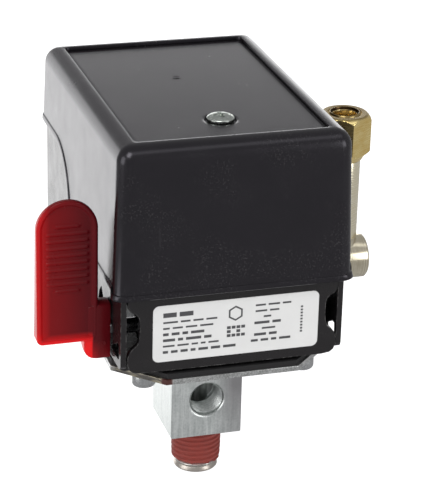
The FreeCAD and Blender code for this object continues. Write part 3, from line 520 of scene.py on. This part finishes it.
class CoverShape:
    """Rings round the cover: straight sides, quarter-circle corners, and side edges that rise in an arc."""

    def __init__(self):
        low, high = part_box("cover")
        self.front, self.back, self.half = low.y, high.y, (high.x - low.x) / 2
        self.bottom, self.top = low.z, high.z
        self.angles = [radians(4.5 * k) for k in range(21)]
        start = self.front + COVER_CORNER + 0.25 * MM
        self.arc_from = 16
        runs = [start + (16 * MM - start) * k / (self.arc_from - 1) for k in range(self.arc_from)]
        runs += [ARC_END - (ARC_END - ARC_START) * cos(a) for a in self.angles]
        self.runs = runs + [42 * MM, 49 * MM]
        self.spots = []
        for sx in (1, -1):
            loop = [("end", sx, -1, k / 8) for k in range(8)]
            loop += [("corner", sx, -1, a) for a in range(90, -1, -9)]
            loop += [("side", sx, index, 0) for index in range(len(self.runs))]
            loop += [("corner", sx, 1, a) for a in range(0, 91, 9)]
            loop += [("end", sx, 1, k / 8) for k in range(7, 0, -1)]
            self.spots += loop if sx > 0 else loop[:0:-1]

    def lean(self, z):
        return COVER_LEAN * (z - self.bottom) / (self.top - self.bottom)

    def level(self, inset, corner_r, z):
        """Ring at one height."""
        return self.trace(inset, corner_r, lambda index, y: (y, z), lambda y: z)

    def along_edge(self, inset, corner_r, up, flare=0.0):
        """Ring that keeps a distance above the lower edge."""
        side_z = self.bottom + SIDE_RISE

        def side(index, y):
            if index < self.arc_from:
                return min(y, ARC_START - up), side_z + up
            if index >= self.arc_from + len(self.angles):
                return y, self.bottom + REAR_RISE + up
            a = self.angles[index - self.arc_from]
            rise = max((REAR_RISE - SIDE_RISE + up) * sin(a), up)
            return ARC_END - (ARC_END - ARC_START + up) * cos(a), side_z + rise

        def corner(y):
            return self.bottom + up + (REAR_RISE if y > 0 else 0.0)

        points = self.trace(inset, corner_r, side, corner)
        for p in points:
            near_front = smooth_step(1 - (p.y - self.front) / (7 * MM))
            near_side = smooth_step((abs(p.x) - 24 * MM) / (6 * MM))
            p.x += copysign(flare * (near_front * near_side), p.x)
        return points

    def trace(self, inset, corner_r, side, corner):
        """One ring: every point leans in by its own height."""
        fronts = inset + self.lean(corner(-1)), inset + self.lean(corner(1))
        ends = self.front + fronts[0], self.back - fronts[1]
        first, last = ends[0] + corner_r + 0.05 * MM, ends[1] - corner_r - 0.05 * MM
        squeeze = first > self.runs[0] or last < self.runs[-1]
        points = []
        for kind, sx, value, amount in self.spots:
            if kind == "side":
                y = self.runs[value]
                if squeeze:
                    y = first + (last - first) * (y - self.runs[0]) / (self.runs[-1] - self.runs[0])
                y, z = side(value, y)
                points.append(Vector((sx * (self.half - inset - self.lean(z)), y, z)))
                continue
            which = 0 if value < 0 else 1
            straight = self.half - fronts[which] - corner_r
            if kind == "end":
                x, y = sx * straight * amount, ends[which]
            else:
                a = radians(amount)
                x = sx * (straight + corner_r * cos(a))
                y = ends[which] - value * corner_r + value * corner_r * sin(a)
            points.append(Vector((x, y, corner(value))))
        return points


def cover_shell():
    """Moulded cover: open below, crowned above, with a sunk panel and a sink for the screw."""
    shape = CoverShape()
    bottom, top = shape.bottom, shape.top
    r = COVER_CORNER
    ceiling = top - 2.6 * MM
    rings = [shape.level(COVER_WALL + round_in, 1.6 * MM, z)
             for z, round_in in ((ceiling, 0.9 * MM), (ceiling - 1.0 * MM, 0.0), (top - 18 * MM, 0.0))]
    rings += [shape.along_edge(inset, corner_r, up, flare) for inset, corner_r, up, flare in (
        (COVER_WALL, 1.8 * MM, 0.2 * MM, 0.0), (COVER_WALL - 0.2 * MM, 1.9 * MM, 0.0, FLARE * 0.8),
        (0.18 * MM, r, 0.0, FLARE), (0.02 * MM, r, 0.16 * MM, FLARE), (0.0, r, 0.4 * MM, FLARE),
        (0.02 * MM, r, BAND - 0.3 * MM, FLARE * 0.4), (0.1 * MM, r, BAND - 0.08 * MM, FLARE * 0.3),
        (BAND_PROUD, r, BAND, FLARE * 0.2), (BAND_PROUD + 0.03 * MM, r, BAND + 0.25 * MM, FLARE * 0.1))]
    crown_z = top - CROWN
    rings += [shape.level(BAND_PROUD, r, z) for z in (bottom + 21 * MM, bottom + 28 * MM, crown_z - 0.5 * MM)]
    for k in range(11):
        a = radians(9 * k)
        inward = CROWN * (1 - cos(a))
        rings.append(shape.level(BAND_PROUD + inward, max(r - inward * 0.8, SUNK_CORNER),
                                 crown_z + CROWN * sin(a)))
    edge = SUNK_MARGIN - COVER_LEAN
    for inset, drop in ((edge - 0.1 * MM, 0.0), (edge - 0.03 * MM, 0.03 * MM), (edge, 0.1 * MM),
                        (edge + 0.04 * MM, SUNK + 0.35 * MM), (edge + 0.34 * MM, SUNK + 0.35 * MM),
                        (edge + 0.38 * MM, SUNK + 0.06 * MM), (edge + 0.48 * MM, SUNK),
                        (edge + 1.5 * MM, SUNK)):
        rings.append(shape.level(inset, SUNK_CORNER, top - drop))
    screw = middle("cover_screw")
    outward = [Vector((p.x - screw.x, p.y - screw.y, 0)).normalized() for p in rings[-1]]
    for radius, drop in ((BORE_R + 0.9 * MM, SUNK), (BORE_R + 0.16 * MM, SUNK),
                         (BORE_R + 0.03 * MM, SUNK + 0.1 * MM), (BORE_R, SUNK + 0.25 * MM),
                         (BORE_R, BORE_FLOOR - 0.05 * MM), (1.9 * MM, BORE_FLOOR)):
        rings.append([Vector((screw.x, screw.y, top - drop)) + d * radius for d in outward])
    build = Build()
    build.loops(rings)
    # Small round gate mark on the sunk panel
    mark = (-1.3 * MM, 21.0 * MM, top - SUNK)
    profile = offsets(0, (-0.1, 1.15), (0.05, 1.12), (0.1, 1.0), (0.05, 0.85), (0.01, 0.8), (0.03, 0.3),
                      (0.09, 0.15), (0.1, 0.02))
    build.loops(lathe_rings(profile, mark, (0, 0, 1), 32))
    piece = build.piece("cover_shell", 40.0)
    return dress(piece, "cover", "black_cover_plastic", ("cover",))


def cover_screw():
    """Pan head with a slot across a round recess, sampled on a polar grid."""
    low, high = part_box("cover_screw")
    centre = middle("cover_screw")
    head_r = (high.x - low.x) / 2 - 0.15 * MM
    seat = high.z - 1.9 * MM
    crown = 2.15 * MM
    steps, rows = 144, 46

    def top_of(x, y):
        r = min(1.0, hypot(x, y) / head_r)
        z = crown * (0.55 + 0.45 * (1 - r ** 2.4) ** 0.7)
        arm = min(abs(x), abs(y))
        reach = max(abs(x), abs(y))
        cross = smooth_step((0.55 * MM - arm) / (0.2 * MM)) * smooth_step((2.2 * MM - reach) / (0.5 * MM))
        slot = smooth_step((0.4 * MM - abs(y)) / (0.14 * MM))
        return z - cross * 0.9 * MM - slot * (1 - cross) * 0.5 * MM

    rings = []
    profile = [(-0.02 * MM, head_r * 0.5), (-0.02 * MM, head_r * 0.86), (0.12 * MM, head_r * 0.98),
               (crown * 0.25, head_r), (crown * 0.48, head_r)]
    build = Build()
    for z, r in profile:
        rings.append([Vector((centre.x + r * cos(t), centre.y + r * sin(t), seat + z))
                      for t in circle(steps)])
    for row in range(rows + 1):
        r = (head_r - 0.005 * MM) * cos(pi / 2 * row / (rows + 1))
        rings.append([Vector((centre.x + r * cos(t), centre.y + r * sin(t),
                              seat + top_of(r * cos(t), r * sin(t))))
                      for t in circle(steps)])
    build.loops(rings)
    thread_r = 1.6 * MM
    build.loops(thread_rings(Vector((centre.x, centre.y, seat + 0.1 * MM)), (0, 0, -1), 11 * MM,
                             thread_r, thread_r - 0.3 * MM, 0.6 * MM, 48))
    piece = build.piece("cover_screw_detailed", 38.0)
    return dress(piece, "cover", "zinc_steel", ("cover_screw",), "screw_plate")


# ---- threads

def thread_rings(start, axis, length, crest_r, root_r, pitch, steps, taper=0.0, inside=False, per_pitch=10):
    """Rings of a screw thread: the radius swings from root to crest and fades at both ends."""
    u, v, w = basis(axis)
    count = max(8, int(length / pitch * per_pitch))
    rings = []
    for row in range(count + 1):
        along = length * row / count
        fade = smooth_step(along / (0.8 * pitch)) * smooth_step((length - along) / (0.9 * pitch))
        ring = []
        for k, t in enumerate(circle(steps)):
            phase = (along / pitch - k / steps) % 1.0
            tooth = min(1.0, max(0.0, 1.15 - abs(phase - 0.5) * 2.6))
            radius = root_r + (crest_r - root_r) * tooth * fade
            if not inside:
                radius -= taper * along
            ring.append(Vector(start) + w * along + (u * cos(t) + v * sin(t)) * radius)
        rings.append(ring)
    return rings


THREAD_PITCH = 1.411 * MM
THREAD_DEPTH = 0.95 * MM
PORT_PITCH = 0.941 * MM
TAIL_TAPER = 1.0 / 32.0
THREAD_START = 0.3 * MM
TAIL_CREST = 6.82 * MM


def manifold_block():
    """Square bar with the side port's and the tail's real threads."""
    low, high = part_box("manifold_block")
    bm = bmesh.new()
    bm.from_mesh(nodes["manifold_block"].data)
    tail_faces = [f for f in bm.faces if f.calc_center_median().z < -1e-5]
    bmesh.ops.delete(bm, geom=tail_faces, context="FACES")
    bmesh.ops.remove_doubles(bm, verts=bm.verts, dist=2e-6)
    bmesh.ops.dissolve_limit(bm, angle_limit=radians(0.4), verts=bm.verts, edges=bm.edges)
    mesh = bpy.data.meshes.new("bar")
    bm.to_mesh(mesh)
    bm.free()
    bar = bpy.data.objects.new("bar", mesh)
    link(bar)
    rounding = bar.modifiers.new("rounding", "BEVEL")
    rounding.limit_method = "ANGLE"
    rounding.angle_limit = radians(28)
    rounding.width = 0.22 * MM
    rounding.segments = 2
    settle(bar)
    build = Build()
    build.add_mesh(bar.data)
    bpy.data.objects.remove(bar)
    tail = -low.z
    crest = TAIL_CREST
    rings = thread_rings((0, 0, THREAD_START), (0, 0, -1), tail - 1.1 * MM, crest, crest - THREAD_DEPTH,
                         THREAD_PITCH, 96, TAIL_TAPER)
    root = crest - THREAD_DEPTH - TAIL_TAPER * tail
    bore = 2.6 * MM
    rings += lathe_rings([(tail - 0.75 * MM, root + 0.45 * MM), (tail - 0.3 * MM, root + 0.5 * MM),
                          (tail - 0.06 * MM, root + 0.3 * MM), (tail, root),
                          (tail, bore + 0.3 * MM), (tail - 0.3 * MM, bore), (0.0, bore)],
                         (0, 0, 0), (0, 0, -1), 96)
    build.loops(rings, close_first=False, close_last=False)
    port = Vector((0, low.y, 10.7 * MM))
    build.loops(thread_rings(port + Vector((0, 0.55 * MM, 0)), (0, 1, 0), 7.6 * MM, 4.15 * MM, 4.57 * MM,
                             PORT_PITCH, 72, 0.0, True), close_first=False, close_last=False)
    piece = build.piece("manifold_block_threaded", 30.0)
    return dress(piece, "root", "bright_zinc", ("manifold_block",), "drawn_bar")


def thread_sealant():
    """Dry coating over the thread: softer than the thread under it, with uneven ends."""
    low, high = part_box("thread_sealant")
    steps, rows = 144, 96
    draw = random.Random(4)
    waves = [(n, draw.uniform(0.06, 0.16) * MM, draw.uniform(0, 6.28)) for n in (2, 3, 5, 9, 17)]
    rings = []
    bare_angle = radians(-62)
    for row in range(rows + 1):
        share = row / rows
        ring = []
        for k, t in enumerate(circle(steps)):
            ragged = sum(size * sin(n * t + shift) for n, size, shift in waves)
            bare = 1.1 * MM * max(0.0, cos(t - bare_angle)) ** 9
            top = -0.05 * MM - bare
            bottom = low.z + 0.35 * MM + ragged
            z = top + (bottom - top) * share
            phase = ((THREAD_START - z) / THREAD_PITCH - 0.25 + k / steps) % 1.0
            tooth = smooth_step(1.3 - abs(phase - 0.5) * 2.7)
            end = smooth_step(share / 0.02) * smooth_step((1 - share) / 0.02)
            crest = TAIL_CREST + 0.09 * MM - TAIL_TAPER * (THREAD_START - z)
            lump = 0.05 * MM * sin(7 * t + 1.1 * z / MM) * sin(3 * t + 0.6 * z / MM)
            radius = crest - 0.42 * THREAD_DEPTH * (1 - tooth) + lump * tooth - (1 - end) * 0.5 * MM
            ring.append(Vector((radius * cos(t), radius * sin(t), z)))
        rings.append(ring)
    inner = 5.4 * MM
    rings.append([Vector((p.x, p.y, 0)).normalized() * inner + Vector((0, 0, p.z)) for p in rings[-1]])
    rings.insert(0, [Vector((p.x, p.y, 0)).normalized() * inner + Vector((0, 0, p.z)) for p in rings[0]])
    build = Build()
    build.loops(rings, close_first=False, close_last=False)
    piece = build.piece("thread_sealant_coat", 50.0)
    return dress(piece, "root", "brick_sealant", ("thread_sealant",))


# ---- lever

RIM = 1.0 * MM
DISH = 0.7 * MM
RIDGES = 10
RIDGE_PITCH = 1.92 * MM
RIDGE_LOW = 51.4 * MM
PADDLE_WIDTH = 15.6 * MM
PADDLE_FOOT = 37.2 * MM
PADDLE_FRONT, PADDLE_BACK = -21.4 * MM, -16.6 * MM
PADDLE_TIP = 1.9 * MM
HUB_R = 7.7 * MM
HUB_OUT, HUB_IN = -33.6 * MM, -29.4 * MM
WEB_X = -35.9 * MM
STOP_R, STOP_ANGLE = 6.0 * MM, radians(62)


def lever_blade(build):
    """Paddle: round top, raised rim, dished face with grip ridges, rounded edges, thinner towards the top."""
    low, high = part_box("lever")
    x0, z0, z1 = low.x, PADDLE_FOOT, high.z
    radius = PADDLE_WIDTH / 2
    cx, cz = x0 + radius, z1 - radius
    edge_r = 0.6 * MM
    foot_corner = 1.5 * MM

    def half_width(z):
        if z > cz:
            return sqrt(max(0.0, radius ** 2 - (z - cz) ** 2))
        if z < z0 + foot_corner:
            return radius - foot_corner + sqrt(max(0.0, foot_corner ** 2 - (z0 + foot_corner - z) ** 2))
        return radius

    def depth_inside(x, z):
        """Distance from a point of the face to the paddle's outline."""
        if z > cz:
            return radius - hypot(x - cx, z - cz)
        side, foot = radius - abs(x - cx), z - z0
        if side < foot_corner and foot < foot_corner:
            return foot_corner - hypot(foot_corner - side, foot_corner - foot)
        return min(side, foot)

    def rounding(d):
        return edge_r - sqrt(max(0.0, edge_r ** 2 - max(0.0, edge_r - d) ** 2))

    def front_face(x, z):
        d = depth_inside(x, z)
        rim = RIM + 0.7 * MM * smooth_step(1 - (z - z0) / (2.5 * MM))
        y = PADDLE_FRONT + rounding(d) + DISH * smooth_step((d - rim * 0.8) / (0.9 * MM))
        for k in range(RIDGES):
            away = abs(z - RIDGE_LOW - k * RIDGE_PITCH)
            if away < 0.75 * MM:
                reach = radius - (4.4 * MM if k in (0, RIDGES - 1) else 2.2 * MM)
                window = smooth_step((reach - abs(x - cx)) / (0.5 * MM))
                y -= 0.5 * MM * window * smooth_step(1 - away / (0.66 * MM))
        return y

    def rear_face(x, z):
        slope = (PADDLE_BACK - PADDLE_FRONT - PADDLE_TIP) * (z - z0) / (z1 - z0)
        return PADDLE_BACK - slope - rounding(depth_inside(x, z))

    heights = [z0 + foot_corner * (1 - cos(pi / 2 * k / 9)) for k in range(10)]
    steps = int((cz - heights[-1]) / (0.15 * MM))
    heights += [heights[-1] + (cz - heights[-1]) * (k + 1) / steps for k in range(steps)]
    heights += [cz + radius * sin(pi / 2 * (k + 1) / 60) for k in range(60)]
    heights[0] += 0.002 * MM
    heights[-1] -= 0.002 * MM
    columns = 60
    rings = []
    for z in heights:
        w = half_width(z)
        across = [cx + w * sin(pi / 2 * (2 * k / columns - 1)) for k in range(columns + 1)]
        front = [Vector((x, front_face(x, z), z)) for x in across]
        rear = [Vector((x, rear_face(x, z), z)) for x in reversed(across)]
        rings.append(front + rear)
    build.loops(rings)


def lever_hub(build, shaft):
    """Drum on the shaft, cut flush with the paddle's face, with a rounded outer edge."""
    steps = 120
    flush = PADDLE_FRONT - shaft.y
    rings = []
    profile = offsets(WEB_X, (0, 7.4), (0, 2.6), (0.15, 1.7), (0.5, 1.05), (1.0, 0.55), (1.7, 0.2))
    profile += offsets(HUB_OUT, (0.6, 0)) + offsets(HUB_IN, (-0.3, 0), (-0.06, 0.1), (0, 0.3), (0, 5.65))
    for x, inset in profile:
        radius = HUB_R - inset
        ring = []
        for t in circle(steps):
            y, z = radius * cos(t), radius * sin(t)
            limit = flush + min(inset, 1.5 * MM)
            corner = 0.9 * MM
            if radius > 3 * MM and y < limit + corner:
                y = limit + corner - corner * tanh((limit + corner - y) / corner)
            ring.append(Vector((x, shaft.y + y, shaft.z + z)))
        rings.append(ring)
    build.loops(rings)


def lever():
    """Red moulding: paddle, hub, ejector mark and stop pin."""
    shaft = middle("lever_shaft")
    build = Build()
    lever_blade(build)
    lever_hub(build, shaft)
    # Ejector mark on the hub's flat front
    mark = Vector((-31.2 * MM, PADDLE_FRONT + 0.02 * MM, 36.4 * MM))
    build.loops(lathe_rings(offsets(0, (-0.4, 0.62), (0.1, 0.62), (0.14, 0.55), (0.12, 0.42), (0.05, 0.36),
                                    (0.05, 0.02)), mark, (0, -1, 0), 28))
    pin = Vector((0, shaft.y + STOP_R * cos(STOP_ANGLE), shaft.z + STOP_R * sin(STOP_ANGLE)))
    build.loops(lathe_rings(offsets(HUB_IN, (-0.5, 1.1), (1.7, 1.1), (1.9, 0.9)), pin, (1, 0, 0), 32))
    piece = build.piece("lever_moulding", 42.0)
    return dress(piece, "lever", "red_plastic", ("lever",))


# ---- label

ROW_PITCH = 1.62                # millimetres between printed rows


def rating_label():
    """White film with rounded corners, and generic printed rules and blocks in place of any text."""
    low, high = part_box("rating_label")
    corner = 1.6 * MM
    build = Build()
    rings = []
    face = low.y + 0.01 * MM
    for inset, y in ((0.0, high.y), (0.0, low.y + 0.04 * MM), (0.04 * MM, face), (0.3 * MM, face)):
        ring = []
        for cx, cz, start in ((high.x - corner, high.z - corner, 0), (low.x + corner, high.z - corner, 90),
                              (low.x + corner, low.z + corner, 180), (high.x - corner, low.z + corner, 270)):
            for k in range(9):
                a = radians(start + 90 * k / 8)
                r = corner - inset
                ring.append(Vector((cx + r * cos(a), y, cz + r * sin(a))))
        rings.append(ring)
    build.loops(rings)
    film = build.piece("rating_label_film", 30.0)
    dress(film, "root", "label_film", ("rating_label",))

    ink = Build()

    def bar(x, z, length, thick):
        """One printed mark, its left end at x and its middle at z, measured from the label's lower left."""
        left, foot = low.x + x, low.z + z - thick / 2
        corners = ((left, foot), (left + length, foot), (left + length, foot + thick), (left, foot + thick))
        ink.loops([[Vector((cx, y, cz)) for cx, cz in corners]
                   for y in (face + 0.03 * MM, face - 0.012 * MM)])

    draw = random.Random(11)

    def row(x, z, width, thick, shortest=1.2, longest=4.0):
        """A line of plain dashes of uneven length."""
        at = x
        while at < x + width - shortest * MM:
            length = min(draw.uniform(shortest, longest) * MM, x + width - at)
            bar(at, z, length, thick)
            at += length + 0.75 * MM

    row(2.6 * MM, 12.7 * MM, 8.2 * MM, 1.25 * MM, 3.0, 4.0)
    for index, (width, thick) in enumerate(((14.0, 0.5), (13.0, 0.5), (12.6, 0.75), (12.6, 0.75), (15.5, 0.5),
                                           (19.0, 0.72))):
        row(2.6 * MM, (10.7 - ROW_PITCH * index) * MM, width * MM, thick * MM)
    for index, (x, width, thick) in enumerate(((26.6, 9.4, 0.5), (26.6, 8.0, 0.5), (28.8, 3.2, 0.5),
                                              (26.4, 7.0, 0.72), (28.4, 4.2, 0.5), (26.4, 7.0, 0.72),
                                              (25.6, 10.5, 0.66))):
        row(x * MM, (13.0 - ROW_PITCH * index) * MM, width * MM, thick * MM)
    for k in range(9):
        bar(38.6 * MM, (4.6 + 0.85 * k) * MM, 0.6 * MM, 0.5 * MM)
    # Two plain printed devices: an open hexagon and a block of squares
    hexagon = []
    for radius in (2.1 * MM, 1.6 * MM):
        for y in (face - 0.008 * MM, face + 0.03 * MM):
            angles = [radians(60 * k + 30) for k in range(6)]
            hexagon.append([Vector((low.x + 21.4 * MM + radius * cos(a), y,
                                    low.z + 11.4 * MM + radius * sin(a))) for a in angles])
    ink.loops([hexagon[1], hexagon[0], hexagon[2], hexagon[3], hexagon[1]], False, False)
    for column in range(4):
        for line in range(3):
            if (column * 2 + line * 3) % 4 != 1:
                bar((19.2 + 1.25 * column) * MM, (5.4 + 1.1 * line) * MM, 1.0 * MM, 0.8 * MM)
    piece = ink.piece("rating_label_print", 30.0)
    return dress(piece, "root", "label_film", (), "label_ink")


# ---- compression nut

NUT_BORE, NUT_CHAMBER = 3.6, 4.78       # millimetres of radius, above and below the seat
NUT_SEAT = 4.1                          # millimetres below the top


def compression_nut():
    """Hexagon turned to a dome above and to a cone below, with a countersunk and lipped bore."""
    low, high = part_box("compression_nut")
    centre = middle("compression_nut")
    flats = (high.y - low.y) / 2
    corner = flats / cos(radians(30))
    bottom, top = low.z, high.z
    hex_low = bottom + 1.9 * MM
    steps = 144

    def hexagon(t):
        return flats / cos((t + radians(30)) % radians(60) - radians(30))

    profile = offsets(bottom, (0, 4.85), (0, 5.05), (0.15, 5.2), (1.4, 5.95))
    profile += offsets(hex_low, (-0.25, 6.15))
    profile += [(hex_low + 0.9 * MM * k / 8 - 0.1 * MM, 6.15 * MM + (corner - 6.1 * MM) * (k / 8) ** 0.8)
                for k in range(9)]
    chamfer = 1.5 * MM
    profile += [(top - chamfer + chamfer * k / 10, corner - (corner - 5.9 * MM) * (k / 10) ** 1.6)
                for k in range(11)]
    lip = top + 0.3 * MM
    profile += offsets(top, (0, 5.2), (-0.03, 4.65), (-0.3, 4.5), (-0.3, 4.3))
    profile += offsets(lip, (-0.2, 4.15), (-0.05, 4.05), (0, 3.9), (-0.05, 3.78), (-0.5, NUT_BORE))
    profile += offsets(top, (-NUT_SEAT, NUT_BORE), (-NUT_SEAT, NUT_CHAMBER))
    profile += offsets(bottom, (0.3, NUT_CHAMBER), (0, 4.85))
    rings = []
    for z, limit in profile:
        ring = []
        for t in circle(steps):
            radius = min(hexagon(t), limit) if z > hex_low - 0.2 * MM else limit
            ring.append(Vector((centre.x + radius * cos(t), centre.y + radius * sin(t), z)))
        rings.append(ring)
    build = Build()
    build.loops(rings, False, False)
    piece = build.piece("compression_nut_turned", 24.0)
    return dress(piece, "compression_nut", "yellow_brass", ("compression_nut",), "nut_brass")


# ---- springs

def coil_spring(node, turns, wire, axis=(0, 0, 1)):
    """Compression spring with closed ends."""
    low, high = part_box(node)
    along = 2 if axis[2] else 0
    across = 1
    centre = (low + high) / 2
    mean = (high[across] - low[across]) / 2 - wire
    length = high[along] - low[along]
    u, v, w = basis(axis)
    start = centre - w * (length / 2)
    samples, around = int(turns * 40), 12
    rings = []
    for k in range(samples + 1):
        share = k / samples
        dead = 0.9 / turns
        eased = smooth_step((share - dead / 2) / (1 - dead))
        ramp = eased * 0.35 + min(1, max(0, (share - dead) / (1 - 2 * dead))) * 0.65
        height = wire + (length - 2 * wire) * ramp
        t = 2 * pi * turns * share
        out = u * cos(t) + v * sin(t)
        rings.append([start + w * (height + wire * sin(a)) + out * (mean + wire * cos(a))
                      for a in circle(around)])
    build = Build()
    build.loops(rings)
    piece = build.piece(node + "_coil", 60.0)
    dress(piece, "root", "spring_steel", (node,))
    tuple(w)
    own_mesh(piece)
    return piece


def springs():
    """The four coils."""
    coil_spring("range_spring", 6.5, 1.15 * MM)
    coil_spring("differential_spring", 7.5, 0.55 * MM)
    coil_spring("contact_spring", 6.5, 0.4 * MM)
    coil_spring("valve_spring", 7.5, 0.35 * MM, (1, 0, 0))


# ---- the rest of the pieces

def studs():
    """Screw threads on the two adjusting studs."""
    for node, radius, pitch in (("range_stud", 3.0 * MM, 1.0 * MM),
                                ("differential_stud", 2.0 * MM, 0.7 * MM)):
        low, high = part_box(node)
        centre = middle(node)
        hexagon_r = (high.y - low.y) / 2 / cos(radians(30))
        foot = 3.0 * MM if node == "range_stud" else 2.6 * MM
        build = Build()
        ring_at = [[Vector((centre.x + r * cos(a), centre.y + r * sin(a), z))
                    for a in (radians(60 * k) for k in range(6))]
                   for z, r in ((low.z, hexagon_r - 0.2 * MM), (low.z + 0.15 * MM, hexagon_r),
                                (low.z + foot - 0.25 * MM, hexagon_r), (low.z + foot, hexagon_r - 0.35 * MM))]
        build.loops(ring_at)
        build.loops(thread_rings((centre.x, centre.y, low.z + foot - 0.1 * MM), (0, 0, 1),
                                 high.z - low.z - foot, radius, radius * 0.84, pitch, 40, 0.0, False, 8))
        piece = build.piece(node + "_threaded", 30.0)
        dress(piece, "root", "zinc_steel", (node,))


def other_pieces():
    """Pieces that only need their sharp edges broken; the rest keep their CAD shape."""
    widths = {"base_channel": 0.35, "end_plate_left": 0.4, "end_plate_right": 0.4, "diaphragm_flange": 0.16,
              "diaphragm": 0.2, "valve_body": 0.2, "valve_plug": 0.2, "valve_riser": 0.15, "ferrule": 0.1,
              "flange_screws": 0.2, "contact_block": 0.25, "contact_carrier": 0.25, "actuator_beam": 0.2,
              "range_seat": 0.2, "range_washer": 0.15, "range_nut": 0.2, "differential_nut": 0.15,
              "contact_bracket": 0.2, "spring_bridge": 0.15, "terminals": 0.12, "terminal_screws": 0.15,
              "block_screws": 0.15, "pivot_bracket": 0.2, "lever_cam": 0.2, "contact_bridges": 0.1,
              "valve_jam_nut": 0.15, "ground_screw": 0.2}
    finishes = {"valve_riser": "yellow_zinc_upright", "diaphragm_flange": "flange_plate"}
    for node, width in widths.items():
        dress_softened(node, width * MM, 2, finishes.get(node))
    for node, piece in nodes.items():
        if not piece.hide_render:
            piece.data.materials.clear()
            piece.data.materials.append(MATERIALS[slot_of[node]])


# ---- studio

CAMERA_PLACE = Vector((-145.8, -484.9, 266.2)) * MM
CAMERA_TURN, CAMERA_DIP, CAMERA_ROLL = radians(17.38), radians(23.13), radians(1.6)
CAMERA_LENS = 151.2             # millimetres, on a 36 mm sensor


def camera():
    """Camera above and to the left of the front, looking along +Y, +X and down."""
    ahead = Vector((sin(CAMERA_TURN) * cos(CAMERA_DIP),
                    cos(CAMERA_TURN) * cos(CAMERA_DIP), -sin(CAMERA_DIP)))
    level = Vector((cos(CAMERA_TURN), -sin(CAMERA_TURN), 0))
    above = level.cross(ahead)
    right = level * cos(CAMERA_ROLL) + above * sin(CAMERA_ROLL)
    up = above * cos(CAMERA_ROLL) - level * sin(CAMERA_ROLL)
    data = bpy.data.cameras.new("camera")
    data.lens = CAMERA_LENS
    data.sensor_width = 36.0
    data.shift_x = 0.0023
    data.shift_y = 0.0007
    data.clip_start = 0.01
    data.clip_end = 20.0
    seen = bpy.data.objects.new("camera", data)
    turn = Matrix((right, up, -ahead)).transposed().to_4x4()
    seen.matrix_world = Matrix.Translation(CAMERA_PLACE) @ turn
    link(seen)
    bpy.context.scene.camera = seen


def softbox(name, place, towards, width, height, radiance):
    """Rectangular studio light that shows in reflections but not to the camera."""
    data = bpy.data.lights.new(name, "AREA")
    data.shape = "RECTANGLE"
    data.size, data.size_y = width, height
    data.energy = radiance * pi * width * height
    light = bpy.data.objects.new(name, data)
    light.location = place
    light.rotation_euler = (Vector(towards) - Vector(place)).to_track_quat("-Z", "Y").to_euler()
    light.visible_camera = False
    link(light)


FLOOR_DROP = 60 * MM            # floor below the part's lowest point
FLOOR_REACH = 4.0
WORLD_STRENGTH = 0.42


def studio():
    """Pale floor, even world light and seven soft boxes."""
    low, high = (Vector(c) for c in cad_box)
    centre = (low + high) / 2
    mesh = bpy.data.meshes.new("floor")
    z = low.z - FLOOR_DROP
    corners = [(x * FLOOR_REACH, y * FLOOR_REACH, z) for x, y in ((-1, -1), (1, -1), (1, 1), (-1, 1))]
    mesh.from_pydata(corners, [], [(0, 1, 2, 3)])
    floor = bpy.data.objects.new("floor", mesh)
    link(floor)
    s = Shader("floor_paper")
    s.finish((0.9, 0.9, 0.9, 1.0), 0.8, None, emission_color=(1, 1, 1, 1), emission_strength=0.55)
    mesh.materials.append(s.material)
    floor.visible_glossy = False
    floor.visible_shadow = False

    world = bpy.data.worlds.new("studio")
    bpy.context.scene.world = world
    world.use_nodes = True
    world.node_tree.nodes["Background"].inputs["Color"].default_value = (0.98, 0.98, 1.0, 1.0)
    world.node_tree.nodes["Background"].inputs["Strength"].default_value = WORLD_STRENGTH

    softbox("sweep_behind", (-0.05, 0.75, -0.03), (-0.05, 0, -0.03), 1.1, 0.56, 1.6)
    softbox("sweep_low", (-0.05, 0.75, -0.375), (-0.05, 0, -0.375), 1.1, 0.13, 0.95)
    softbox("back_above", (0.25, 0.8, 0.29), centre, 0.9, 0.16, 0.35)
    softbox("front_above", (0.3, -0.45, 1.0), centre, 0.9, 0.3, 0.8)
    softbox("left_box", (-0.9, -0.25, 0.25), centre, 0.5, 0.7, 2.5)
    softbox("key_above", (-0.35, -0.5, 0.9), centre, 0.5, 0.5, 5.0)
    softbox("front_right", (0.6, -0.7, 0.25), centre, 0.4, 0.5, 3.0)
    bpy.context.scene.view_settings.view_transform = "Standard"


cover_shell()
cover_screw()
manifold_block()
thread_sealant()
lever()
rating_label()
compression_nut()
springs()
studs()
other_pieces()
camera()
studio()
